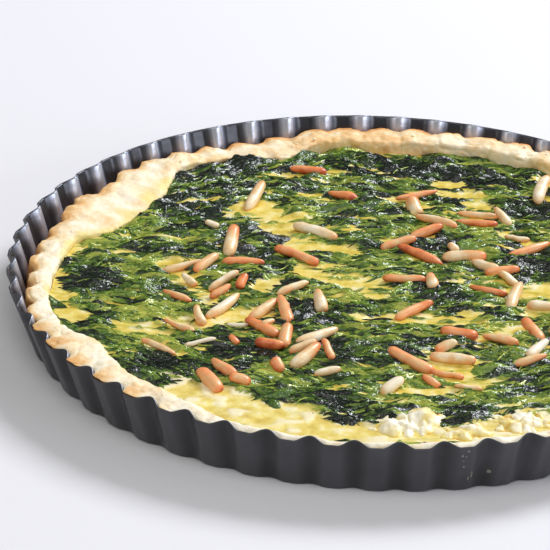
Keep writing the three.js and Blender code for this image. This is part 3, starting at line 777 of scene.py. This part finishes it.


# Curds: matt, moist and cream coloured, yellow in the hollows and at the low edges, partly custard and
# partly painted shade, and tan where they stood up.
def egg_curd():
    material, shader, place = start_material("egg_and_cheese_curd")
    browned = add_node(material, "ShaderNodeAttribute", {"attribute_name": "browned"}, {})
    grain = add_node(material, "ShaderNodeTexNoise", {
        "Scale": 1 / (CURD_GRAIN * MM), "Detail": 3}, {"Vector": place})
    colour = add_node(material, "ShaderNodeValToRGB", {"stops": [
        (0, "#faf3de"), (0.25, "#f6e9bf"), (0.55, "#ecd576"), (0.8, "#e2b24c"), (1, "#cc863a")]}, {
        "Fac": browned.outputs["Fac"]})
    join(material, colour.outputs["Color"], shader.inputs["Base Color"])
    shader.inputs["Roughness"].default_value = 0.42
    shader.inputs["Subsurface Weight"].default_value = 0.12
    shader.inputs["Subsurface Radius"].default_value = (1, 0.8, 0.4)
    shader.inputs["Subsurface Scale"].default_value = SOFT_DEPTH * MM
    bump = add_node(material, "ShaderNodeBump", {"Strength": 0.25, "Distance": 0.0005}, {
        "Height": grain.outputs["Fac"]})
    join(material, bump.outputs["Normal"], shader.inputs["Normal"])
    return material


curd_points, curd_faces, curd_browning_and_painted_shade = curd_mesh()
curds = make_piece("egg_curds", curd_points, curd_faces, egg_curd(), browned=curd_browning_and_painted_shade)
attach(curds, "root")


# ----------------------------------------
# Spinach leaves: torn, wilted pieces stirred into the custard. Most are scraps and thin shreds that
# run with the strands, and a few are big folded leaves in the clumps. Stems lie between them.
# ----------------------------------------
SCRAPS = {"seed": 51, "tries": 9500, "lengths": (3.5, 10), "widths": (1.2, 3.2), "rows": 6, "columns": 4,
          "lift": 0.5, "wrinkle": 0.9, "astray": 0.42, "mixed": 0.1, "clumped": False}
SHREDS = {"seed": 54, "tries": 12000, "lengths": (5, 16), "widths": (0.35, 0.95), "rows": 7, "columns": 3,
          "lift": 0.9, "wrinkle": 0.8, "astray": 0.3, "mixed": 0.16, "clumped": False}
BIG_LEAVES = {"seed": 52, "tries": 620, "lengths": (9, 18), "widths": (4, 7.5), "rows": 15, "columns": 11,
              "lift": 1.3, "wrinkle": 1.6, "astray": 0.6, "mixed": 0.1, "clumped": True}
CLUMPED_DARKER = 0.22
LEAVES_APART = 7.3
STEM_TRIES = 420
STEM_LENGTHS = (5, 15)
STEM_RADII = (0.22, 0.4)
STEM_ROWS = 9
STEM_SIDES = 6
STEM_TONES = (0.5, 0.95)
VEIN_SIZE = 1.4
# Real leaf blisters are finer, but they would not show.
BLISTER_SIZE = 0.8


def repeat_faces(quads, count, points_each):
    return (np.arange(count)[:, None, None] * points_each + quads).reshape(-1, 4).tolist()


def scatter(tries, seed, least_cover, least_clump):
    """Random places on the spinach, away from the pastry."""
    random = np.random.default_rng(seed)
    reach, turn = INNER_RADIUS * np.sqrt(random.uniform(0, 1, tries)), random.uniform(-180, 180, tries)
    x, y, _ = round_the_dish(turn, reach, 0).T
    kept = (reach < crust_inner_radius(turn) - 2) & (spinach_cover(x, y) > least_cover)
    kept &= (streak_share(SPINACH_CLUMPS, x, y) >= least_clump) & (curd_share(x, y) < 0.1)
    return x[kept], y[kept], random


def strand_heading(x, y):
    """Direction of the strands, in radians."""
    return np.arctan2(-x * y, TIN_RIM_RADIUS ** 2 + x ** 2 / 2)


def leaf_mesh(seed, tries, lengths, widths, rows, columns, lift, wrinkle, astray, mixed, clumped):
    x, y, random = scatter(tries, seed, 0.5, 0.5 if clumped else 0)
    count = len(x)
    length = random.uniform(*lengths, (count, 1, 1))
    length *= between(0.45, 1, smooth_step(0.5, 0.95, spinach_cover(x, y)))[:, None, None]
    width = np.minimum(random.uniform(*widths, (count, 1, 1)), 0.6 * length)
    heading = (strand_heading(x, y) + random.normal(0, astray, count))[:, None, None]
    bend = random.uniform(-0.3, 0.3, (count, 1, 1))
    along, across = np.meshgrid(np.linspace(-0.5, 0.5, rows), np.linspace(-0.5, 0.5, columns), indexing="ij")
    outline = np.sqrt(np.clip(1.06 - (2 * along) ** 4, 0, 1))
    jag = 1 + 0.25 * random.uniform(-1, 1, (count, rows, 1))
    run = length * along
    over = width * across * outline * jag + bend * length * (4 * along ** 2 - 0.5) * 0.5
    spot_x = x[:, None, None] + run * np.cos(heading) - over * np.sin(heading)
    spot_y = y[:, None, None] + run * np.sin(heading) + over * np.cos(heading)
    points = keep_inside(np.stack([spot_x, spot_y, np.zeros_like(spot_x)], -1), 0.4)
    spot_x, spot_y = points[..., 0], points[..., 1]
    arch = (1 - (2 * across) ** 2) * (1 - (2 * along) ** 4)
    # Each leaf's folds run along it, so they are three times as long as they are wide.
    which = np.broadcast_to(np.arange(count)[:, None, None] * LEAVES_APART, spot_x.shape)
    folded = np.stack(np.broadcast_arrays(run / 3, width * across, which), -1)
    crumpled = soft_noise(folded, wrinkle, 41)
    rise = arch * (0.35 + random.uniform(0, lift, (count, 1, 1))) + 0.5 * wrinkle * crumpled * (0.4 + arch)
    points[..., 2] = surface_height(spot_x, spot_y) - 0.3 + np.maximum(rise, -0.2)
    tone = spinach_tone(x, y) - CLUMPED_DARKER * clumped + random.normal(0, mixed, count)
    tone = np.clip(tone[:, None, None] + 0.18 * crumpled, 0, 1.1)
    quads = grid_quads(rows, columns)[:, [0, 3, 2, 1]]
    return points, repeat_faces(quads, count, rows * columns), tone


def stem_mesh():
    x, y, random = scatter(STEM_TRIES, 53, 0.15, 0)
    count = len(x)
    length = random.uniform(*STEM_LENGTHS, (count, 1))
    radius = random.uniform(*STEM_RADII, (count, 1, 1))
    heading = (strand_heading(x, y) + random.normal(0, 0.6, count))[:, None]
    along = np.linspace(-0.5, 0.5, STEM_ROWS)
    sway = random.uniform(-0.25, 0.25, (count, 1)) * length * (4 * along ** 2)
    spot_x = x[:, None] + length * along * np.cos(heading) - sway * np.sin(heading)
    spot_y = y[:, None] + length * along * np.sin(heading) + sway * np.cos(heading)
    spots = keep_inside(np.stack([spot_x, spot_y], -1), 1.5)
    spot_x, spot_y = spots[..., :1], spots[..., 1:]
    turn = np.arange(STEM_SIDES) * 2 * np.pi / STEM_SIDES
    thick = radius * (1 - (2 * along[:, None]) ** 6 * 0.7)
    side = thick * np.cos(turn)
    ground = surface_height(spot_x, spot_y)
    level = 0.5 * ground + 0.5 * ground.mean(axis=1, keepdims=True) + 0.35 + thick * np.sin(turn)
    aside = heading[..., None]
    points = np.stack([spot_x - side * np.sin(aside), spot_y + side * np.cos(aside), level], -1)
    tone = np.broadcast_to(random.uniform(*STEM_TONES, (count, 1, 1)), points.shape[:-1])
    return points, repeat_faces(ring_quads(STEM_ROWS, STEM_SIDES), count, STEM_ROWS * STEM_SIDES), tone


# Wilted spinach leaf: very dark green with brighter veins and thin places, and a film of fat and
# water that gives small hard glints.
def wilted_spinach():
    material, shader, place = start_material("wilted_spinach")
    tone = add_node(material, "ShaderNodeAttribute", {"attribute_name": "tone"}, {})
    vein = add_node(material, "ShaderNodeTexNoise", {
        "Scale": 1 / (VEIN_SIZE * MM), "Detail": 2}, {"Vector": place})
    mottle = add_node(material, "ShaderNodeMapRange", {
        "From Min": 0.3, "From Max": 0.7, "To Min": -0.12, "To Max": 0.12}, {"Value": vein.outputs["Fac"]})
    shade = add_node(material, "ShaderNodeMath", {"operation": "ADD"}, {
        0: tone.outputs["Fac"], 1: mottle.outputs["Result"]})
    colour = add_node(material, "ShaderNodeValToRGB", {"stops": [
        (0.1, "#171f15"), (0.32, "#2d421a"), (0.52, "#4d6d26"), (0.72, "#7a9636"), (0.95, "#b2bc50")]}, {
        "Fac": shade.outputs[0]})
    join(material, colour.outputs["Color"], shader.inputs["Base Color"])
    shader.inputs["Roughness"].default_value = 0.13
    shader.inputs["Specular IOR Level"].default_value = 0.6
    blister = add_node(material, "ShaderNodeTexNoise", {
        "Scale": 1 / (BLISTER_SIZE * MM), "Detail": 2}, {"Vector": place})
    relief = add_node(material, "ShaderNodeMath", {"operation": "ADD"}, {
        0: vein.outputs["Fac"], 1: blister.outputs["Fac"]})
    bump = add_node(material, "ShaderNodeBump", {"Strength": 0.6, "Distance": 0.0006}, {
        "Height": relief.outputs[0]})
    join(material, bump.outputs["Normal"], shader.inputs["Normal"])
    return material


leaf_green = wilted_spinach()
for leaf_name, (leaf_points, leaf_faces, leaf_tone) in {
        "spinach_scraps": leaf_mesh(**SCRAPS), "spinach_shreds": leaf_mesh(**SHREDS),
        "spinach_leaves": leaf_mesh(**BIG_LEAVES), "spinach_stems": stem_mesh()}.items():
    leaves = make_piece(leaf_name, leaf_points, leaf_faces, leaf_green, tone=leaf_tone)
    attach(leaves, "root")


# ----------------------------------------
# Pine nuts: toasted in a dry pan and strewn on before baking. Each is a blunt rod, a little
# narrower at the tip, cream to orange, and reddest where it touched the pan, with its top painted paler and
# its underside darker as painted light.
# ----------------------------------------
NUT_LEAN = 2.5
NUT_STACK = 0.55
NUT_SPOTS = (-0.36, 0, 0.36)
NUT_SHOWN = 0.5
HIGHEST_NUT = 23.45
NUT_RINGS = 19
NUT_SIDES = 14
NUT_BEND = 0.045
NUT_BLUNTNESS = (3.4, 8)
NUT_TAPERS = (0, 0.36)
NUT_FLATNESS = (0.86, 1)
NUT_PAINTED_TOP_LIGHT = 0.22
NUT_UNEVENNESS = 0.2
ROAST_PATCH = 4
RIGHT_NUT_COUNT = 13
RIGHT_NUT_FROM_X = 76
RIGHT_NUT_REACH = 112
RIGHT_NUT_SPACING = 13
RIGHT_NUT_LENGTHS = (10, 20)
RIGHT_NUT_WIDTHS = (3.4, 4.9)
# x, y, heading, length and width, then how toasted the tail and the tip are.
NUT_PLACES = [
    (-74, 3, 23, 16, 3.1, 0.3, 0.35), (-71, -9, 135, 8, 3.2, 0.3, 0.2), (-65, 5, 53, 14, 4.2, 0.6, 0.4),
    (-75, -24, 149, 13, 3.2, 0.45, 0.5), (-66, -41, 109, 10, 4, 0.3, 0.35),
    (-73, -50, 146, 14, 3, 0.3, 0.35), (-65, -62, 17, 12, 1.9, 0.05, 0.05),
    (-80, -67, 148, 15, 2.6, 0.4, 0.45), (-56, 25, 85, 20, 5.4, 0.1, 0.85),
    (-51, 8, 1, 16, 4.2, 0.65, 0.7), (-31, 13, 152, 19, 4, 0.6, 0.7),
    (-58, -10, 45, 15, 3.3, 0.2, 0.15), (-59, -19, 41, 10, 3.3, 0.65, 0.6),
    (-51, -13, 72, 8, 3.9, 0.85, 0.8), (-58, -31, 54, 20, 4.1, 0.2, 0.15),
    (-32, -15, 38, 15, 3.5, 0.35, 0.25), (-22, -26, 103, 11, 5.1, 0.25, 0.4),
    (-43, -33, 51, 16, 4.3, 0.4, 0.35), (-35, -34, 102, 18, 4.7, 0.5, 0.75),
    (-43, -49, 147, 15, 4.5, 0.6, 0.95), (-28, -65, 25, 11, 3.9, 0.3, 0.2),
    (-34, -56, 85, 14, 4.9, 0.4, 0.65), (-40, -62, 351, 11, 4.5, 0.9, 0.6),
    (-23, -55, 37, 19, 4.3, 0.25, 0.35), (-27, -71, 53, 17, 5, 0.15, 0.7),
    (-19, -66, 109, 11, 3.3, 0.5, 0.65), (-53, -59, 137, 5, 3, 0.8, 0.85),
    (-37, -80, 127, 6, 4.6, 0.6, 0.7), (-56, -84, 136, 13, 4.5, 0.6, 0.65),
    (-50, -92, 165, 8, 4.3, 0.6, 0.7), (-61, -93, 126, 14, 5.6, 0.55, 0.65),
    (-19, -82, 17, 10, 3.3, 0.05, 0.1), (-24, 37, 154, 19, 4.5, 0.25, 0.2),
    (-48, 66, 72, 20, 4.7, 0.15, 0.5), (-27, 94, 172, 15, 4.5, 0.9, 0.6),
    (-13, 72, 160, 13, 4.1, 0.95, 0.7), (16, 74, 22, 18, 3, 0.6, 0.65), (15, 63, 107, 10, 6, 0.15, 0.8),
    (23, 48, 153, 18, 4.2, 0.35, 0.4), (19, 39, 28, 15, 4, 0.6, 0.8), (8, 27, 23, 15, 3.9, 0.55, 0.6),
    (16, 16, 152, 20, 4.1, 0.8, 1), (40, 59, 179, 17, 3, 0.45, 0.4), (39, 51, 171, 17, 3.5, 0.8, 0.7),
    (49, 54, 124, 11, 3.9, 0.15, 0.5), (66, 80, 74, 18, 5.4, 0.1, 0.45),
    (54, 38, 173, 10, 2.6, 0.4, 0.35), (58, 26, 33, 20, 3.9, 0.6, 0.6),
    (29, 25, 141, 5, 3.5, 0.15, 0.2), (33, 17, 180, 17, 5.5, 0.7, 0.2),
    (41, 10, 148, 13, 4.5, 0.4, 0.4), (47, 6, 15, 14, 4, 0.65, 0.7), (49, -2, 149, 9, 3.5, 0.3, 0.35),
    (51, -17, 75, 20, 4.6, 0.2, 0.5), (62, -23, 354, 14, 4.2, 0.1, 0.15),
    (10, -4, 177, 17, 3.9, 0.6, 0.65), (20, -7, 102, 9, 4.6, 0.3, 0.6),
    (41, -12, 161, 15, 2.9, 0.8, 0.85), (13, -30, 38, 18, 3.9, 0.4, 0.9),
    (29, -47, 165, 14, 5, 0.85, 0.6), (26, -67, 169, 17, 4.7, 0.3, 0.35),
    (24, -58, 23, 9, 4.6, 0.65, 0.1), (44, -51, 161, 14, 4.1, 0.5, 0.45),
    (56, -44, 118, 14, 4.4, 0.65, 0.85), (54, -67, 22, 13, 3.5, 0.4, 0.45),
    (57, -59, 54, 13, 4.1, 0.15, 0.1), (65, -39, 80, 12, 4, 0.5, 0.6),
    (11, -71, 145, 20, 5, 0.55, 0.75), (24, -79, 171, 12, 2.4, 0.6, 0.6),
    (18, -85, 152, 8, 3.2, 0.6, 0.7), (4, -91, 42, 11, 4.7, 0.15, 0.1),
    (31, -89, 177, 10, 2.1, 0.35, 0.4), (-52, -45, 174, 8, 1.9, 0.05, 0.1),
    (-41, -47, 40, 6, 2.5, 0.3, 0.35), (-64, 39, 161, 6, 2.8, 0.1, 0.15),
]


def steady_random(seed):
    """Numbers between 0 and 1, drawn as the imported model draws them."""
    state = seed
    while True:
        state = (state * 1664525 + 1013904223) % 4294967296
        yield state / 4294967296


def right_nuts():
    draw = steady_random(41)
    places = []
    while len(places) < RIGHT_NUT_COUNT:
        x = RIGHT_NUT_FROM_X + next(draw) * (RIGHT_NUT_REACH - RIGHT_NUT_FROM_X)
        y = (2 * next(draw) - 1) * RIGHT_NUT_REACH
        heading = 180 * next(draw)
        length = between(*RIGHT_NUT_LENGTHS, next(draw))
        width = between(*RIGHT_NUT_WIDTHS, next(draw))
        clear = all(math.hypot(x - other[0], y - other[1]) > RIGHT_NUT_SPACING for other in places)
        if clear and math.hypot(x, y) < RIGHT_NUT_REACH:
            toast = (0.2 + 0.1 * (len(places) % 5), 0.3 + 0.15 * (len(places) % 4))
            places.append((x, y, heading, length, width, *toast))
    return places


def resting_height(x, y, width, laid):
    height = float(filling_height(x, y))
    for spot_x, spot_y, spot_height in itertools.chain.from_iterable(laid):
        apart = math.hypot(x - spot_x, y - spot_y)
        climb = math.sqrt(max((NUT_STACK * width) ** 2 - apart ** 2, 0))
        height = max(height, spot_height + climb) if climb > 0 else height
    return height


def lay_nut(x, y, angle, length, width, laid):
    """Height of a nut's middle and its pitch, resting on the filling and on the nuts laid before it."""
    spots = []
    for spot in NUT_SPOTS:
        spot_x = x + spot * length * math.cos(angle)
        spot_y = y + spot * length * math.sin(angle)
        spots.append([spot_x, spot_y, resting_height(spot_x, spot_y, width, laid)])
    # The nut is stiff, so it bridges between its highest supports.
    tail, middle, tip = spots
    lift = max(middle[2] - (tail[2] + tip[2]) / 2, 0)
    tail[2] += lift
    tip[2] += lift + NUT_LEAN * math.sin(angle)
    middle[2] = (tail[2] + tip[2]) / 2
    laid.append(spots)
    return middle[2], math.atan2(tip[2] - tail[2], (NUT_SPOTS[2] - NUT_SPOTS[0]) * length)


def nut_mesh():
    random = np.random.default_rng(61)
    laid, points, toast = [], [], []
    share = (1 - np.cos(np.linspace(0, np.pi, NUT_RINGS))) / 2
    reach = 2 * share - 1
    sides = np.linspace(0, 2 * np.pi, NUT_SIDES, endpoint=False)
    for x, y, heading, length, width, tail_toast, tip_toast in NUT_PLACES + right_nuts():
        angle = math.radians(heading)
        resting, pitch = lay_nut(x, y, angle, length, width, laid)
        along = np.broadcast_to((length / 2 * reach)[:, None], (NUT_RINGS, NUT_SIDES))
        bend = random.uniform(-NUT_BEND, NUT_BEND) * length * (1 - reach ** 2)
        blunt, taper = random.uniform(*NUT_BLUNTNESS), random.uniform(*NUT_TAPERS)
        girth = (1 - np.abs(reach) ** blunt).clip(0) ** 0.5 * (1 - taper * smooth_step(-0.4, 1, reach))
        thick = girth[:, None] * width * between(0.48, 0.54, taper)
        over = thick * np.cos(sides) + bend[:, None]
        up = thick * np.sin(sides) * random.uniform(*NUT_FLATNESS)
        ahead = along * math.cos(pitch) - up * math.sin(pitch)
        high = along * math.sin(pitch) + up * math.cos(pitch)
        level = min(resting + NUT_SHOWN, HIGHEST_NUT - high.max())
        points.append(np.stack([
            x + ahead * math.cos(angle) - over * math.sin(angle),
            y + ahead * math.sin(angle) + over * math.cos(angle),
            level + high], -1))
        ends = between(tail_toast, tip_toast, share) + 0.22 * np.abs(reach) ** 6
        # Painted light: the top of each nut is painted paler and its underside darker.
        painted_top_light = -NUT_PAINTED_TOP_LIGHT * np.sin(sides + random.uniform(-0.9, 0.9))
        toast.append((ends + 0.15 - 0.12 * np.sin(np.pi * share))[:, None] + painted_top_light)
    points = np.array(points)
    points += NUT_UNEVENNESS * soft_noise(points, 2.6, 62)[..., None]
    quads = ring_quads(NUT_RINGS, NUT_SIDES)
    return points, repeat_faces(quads, len(points), NUT_RINGS * NUT_SIDES), np.array(toast)


# Toasted pine nut: waxy and smooth, half see-through when pale, with a thin roasted skin that goes
# from cream over tan and orange to red-brown, and painted light that makes each top paler and each underside
# darker.
def toasted_pine_nut():
    material, shader, place = start_material("toasted_pine_nut")
    toast = add_node(material, "ShaderNodeAttribute", {"attribute_name": "toast"}, {})
    patch = add_node(material, "ShaderNodeTexNoise", {
        "Scale": 1 / (ROAST_PATCH * MM), "Detail": 4}, {"Vector": place})
    mottle = add_node(material, "ShaderNodeMapRange", {
        "From Min": 0.3, "From Max": 0.7, "To Min": -0.17, "To Max": 0.17}, {"Value": patch.outputs["Fac"]})
    shade = add_node(material, "ShaderNodeMath", {"operation": "ADD"}, {
        0: toast.outputs["Fac"], 1: mottle.outputs["Result"]})
    colour = add_node(material, "ShaderNodeValToRGB", {"stops": [
        (0, "#f8ecd4"), (0.16, "#f2d9ae"), (0.32, "#e9c08a"), (0.52, "#f3ab72"), (0.76, "#ea8a50"),
        (1, "#c0562c")]}, {"Fac": shade.outputs[0]})
    join(material, colour.outputs["Color"], shader.inputs["Base Color"])
    shader.inputs["Roughness"].default_value = 0.34
    shader.inputs["Subsurface Weight"].default_value = 0.15
    shader.inputs["Subsurface Radius"].default_value = (1, 0.6, 0.3)
    shader.inputs["Subsurface Scale"].default_value = SOFT_DEPTH * MM
    bump = add_node(material, "ShaderNodeBump", {"Strength": 0.15, "Distance": 0.0005}, {
        "Height": patch.outputs["Fac"]})
    join(material, bump.outputs["Normal"], shader.inputs["Normal"])
    return material


nut_points, nut_faces, nut_brownness_and_painted_light = nut_mesh()
nuts = make_piece("pine_nuts", nut_points, nut_faces, toasted_pine_nut(), toast=nut_brownness_and_painted_light)
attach(nuts, "root")


# ----------------------------------------
# Crumbs and splashes: flakes of pastry that broke off its top edge, and drops of custard that ran
# over the rim and dried on the outside of the tin.
# ----------------------------------------
CRUMB_COUNT = 40
CRUMB_RADII = (0.4, 0.8)
CRUMB_SQUASH = 0.4
CRUMB_UNEVENNESS = 0.4
CRUMB_RINGS = 11
CRUMB_SIDES = 16
SPLASH_THICKNESS = 0.16
SPLASH_SUNK = 0.02
SPLASH_RINGS = 5
SPLASH_SIDES = 16
FLAKE_SIZE = 0.9
# Angle, height, half width and half length of each dried run on the tin.
SPLASHES = [(12.3, 19.6, 0.5, 0.4), (11.5, 17.5, 0.4, 0.5), (12.1, 17, 0.3, 0.3), (11.8, 15, 0.35, 0.3),
            (12, 12, 0.4, 0.5), (13.5, 7.5, 0.3, 1.6), (13, 6, 0.35, 0.9), (16.3, 7.5, 0.8, 0.9),
            (44, 12, 0.4, 2), (-96, 8, 0.5, 1.6), (150, 10, 0.5, 2.4)]


def crumb_mesh():
    random = np.random.default_rng(81)
    angles = random.uniform(-180, 180, CRUMB_COUNT)
    inner = crust_inner_radius(angles)
    outer = crust_outer_radius(angles, np.full(CRUMB_COUNT, TIN_HEIGHT))
    radii = between(inner, outer, random.uniform(0.15, 0.8, CRUMB_COUNT))
    size = random.uniform(*CRUMB_RADII, CRUMB_COUNT) * (0.6 + 0.4 * shrinkage(angles))
    lean = change_at(LEANING_FOLD, angles) / LEANING_FOLD["amount"]
    centres = round_the_dish(angles, radii, crust_top(angles) + 0.45 - 1.2 * lean)[:, None, None]
    down, turn = np.meshgrid(np.linspace(0.05, np.pi - 0.05, CRUMB_RINGS),
                             np.arange(CRUMB_SIDES) * 2 * np.pi / CRUMB_SIDES, indexing="ij")
    ball = np.stack([np.sin(down) * np.cos(turn), np.sin(down) * np.sin(turn), np.cos(down) * CRUMB_SQUASH],
                    -1) * size[:, None, None, None]
    swell = 1 + CRUMB_UNEVENNESS * soft_noise(centres + ball, 0.8 * np.mean(size), 82)
    points = centres + swell[..., None] * ball
    toast = np.broadcast_to(random.uniform(0, 0.3, (CRUMB_COUNT, 1, 1)), points.shape[:-1])
    quads = ring_quads(CRUMB_RINGS, CRUMB_SIDES)
    return points, repeat_faces(quads, CRUMB_COUNT, CRUMB_RINGS * CRUMB_SIDES), toast


crumb_points, crumb_faces, crumb_toast = crumb_mesh()
crumbs = make_piece("pastry_crumbs", crumb_points, crumb_faces, baked_shortcrust(), toast=crumb_toast)
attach(crumbs, "root")


def splash_mesh():
    angles, heights, half_widths, half_lengths = np.array(SPLASHES).T[:, :, None, None]
    out, turn = np.meshgrid(np.linspace(0, 1, SPLASH_RINGS),
                            np.arange(SPLASH_SIDES) * 2 * np.pi / SPLASH_SIDES, indexing="ij")
    heights = heights + half_lengths * out * np.sin(turn)
    angles = angles + np.degrees(half_widths * out * np.cos(turn) / TIN_BASE_RADIUS)
    radii = tin_radius(angles, heights) + SPLASH_THICKNESS * (1 - out ** 2) - SPLASH_SUNK
    faces = repeat_faces(ring_quads(SPLASH_RINGS, SPLASH_SIDES), len(SPLASHES), SPLASH_RINGS * SPLASH_SIDES)
    return round_the_dish(angles, radii, heights), faces


# Dried custard: a thin, pale, chalky film.
def dried_custard():
    material, shader, place = start_material("dried_custard")
    flaky = add_node(material, "ShaderNodeTexNoise", {
        "Scale": 1 / (FLAKE_SIZE * MM), "Detail": 3}, {"Vector": place})
    colour = add_node(material, "ShaderNodeValToRGB", {"stops": [(0.35, "#6d6b64"), (0.65, "#94907f")]}, {
        "Fac": flaky.outputs["Fac"]})
    join(material, colour.outputs["Color"], shader.inputs["Base Color"])
    shader.inputs["Roughness"].default_value = 0.75
    bump = add_node(material, "ShaderNodeBump", {"Strength": 0.4, "Distance": 0.0003}, {
        "Height": flaky.outputs["Fac"]})
    join(material, bump.outputs["Normal"], shader.inputs["Normal"])
    return material


splash_points, splash_faces = splash_mesh()
splashes = make_piece("dried_splashes", splash_points, splash_faces, dried_custard())
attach(splashes, "root")


# ----------------------------------------
# Table top and light: a plain pale floor, one large soft window behind the dish and to the right, a
# broad ceiling light, pale panels at both sides that the tin mirrors, and a dim room all round.
# ----------------------------------------
FLOOR_SIDE = 4000
FLOOR_BACK = 6000


def painted_floor():
    material, shader, _ = start_material("pale_matt_paint")
    shader.inputs["Base Color"].default_value = linear("#e4e4e8")
    shader.inputs["Roughness"].default_value = 0.8
    return material


floor_points = [[x, y, 0] for x, y in [(-FLOOR_SIDE, -FLOOR_SIDE), (FLOOR_SIDE, -FLOOR_SIDE),
                                       (FLOOR_SIDE, FLOOR_BACK), (-FLOOR_SIDE, FLOOR_BACK)]]
floor = make_piece("floor", floor_points, [[0, 1, 2, 3]], painted_floor())


def add_light(name, power, size, colour, place):
    """A soft panel of light that faces the dish. Its power is in watts, its size and place in metres."""
    lamp = bpy.data.lights.new(name, "AREA")
    lamp.energy = power
    lamp.shape = "RECTANGLE"
    lamp.size, lamp.size_y = size
    lamp.color = linear(colour)[:3]
    light = bpy.data.objects.new(name, lamp)
    light.location = place
    light.rotation_euler = (-Vector(place)).to_track_quat("-Z", "Y").to_euler()
    bpy.context.scene.collection.objects.link(light)


add_light("window", 46, (0.8, 0.7), "#f8f9ff", (1.1, 1.25, 1.4))
add_light("ceiling", 16, (1.6, 1.4), "#fffdf8", (-0.3, -0.9, 1.9))
add_light("left_panel", 6, (1.4, 1), "#fffaf2", (-1.9, -0.6, 0.8))
add_light("right_panel", 18, (1.8, 0.8), "#f4f6ff", (1.8, -0.9, 0.65))

world = bpy.data.worlds.new("pale_room")
world.use_nodes = True
world.node_tree.nodes["Background"].inputs["Color"].default_value = linear("#eef0f2")
world.node_tree.nodes["Background"].inputs["Strength"].default_value = 0.22
bpy.context.scene.world = world
bpy.context.scene.view_settings.view_transform = "Standard"


# ----------------------------------------
# Camera: a long lens from the front, looking down on the dish.
# ----------------------------------------
CAMERA_ELEVATION = math.radians(26.58)
CAMERA_ROLL = math.radians(1.948)
CAMERA_DISTANCE = 1360.8
CAMERA_TARGET = Vector((-38.92, -9.52, TIN_HEIGHT))
SENSOR_WIDTH = 36
LENS_LENGTH = 238.03

lens = bpy.data.cameras.new("camera")
lens.sensor_width = SENSOR_WIDTH
lens.lens = LENS_LENGTH
lens.clip_start, lens.clip_end = 0.1, 30
camera = bpy.data.objects.new("camera", lens)
back = Vector((0, -math.cos(CAMERA_ELEVATION), math.sin(CAMERA_ELEVATION)))
level = Vector((1, 0, 0))
upright = back.cross(level)
right = math.cos(CAMERA_ROLL) * level + math.sin(CAMERA_ROLL) * upright
up = -math.sin(CAMERA_ROLL) * level + math.cos(CAMERA_ROLL) * upright
turned = Matrix((right, up, back)).transposed().to_4x4()
camera.matrix_world = Matrix.Translation((CAMERA_TARGET + CAMERA_DISTANCE * back) * MM) @ turned
bpy.context.scene.collection.objects.link(camera)
bpy.context.scene.camera = camera
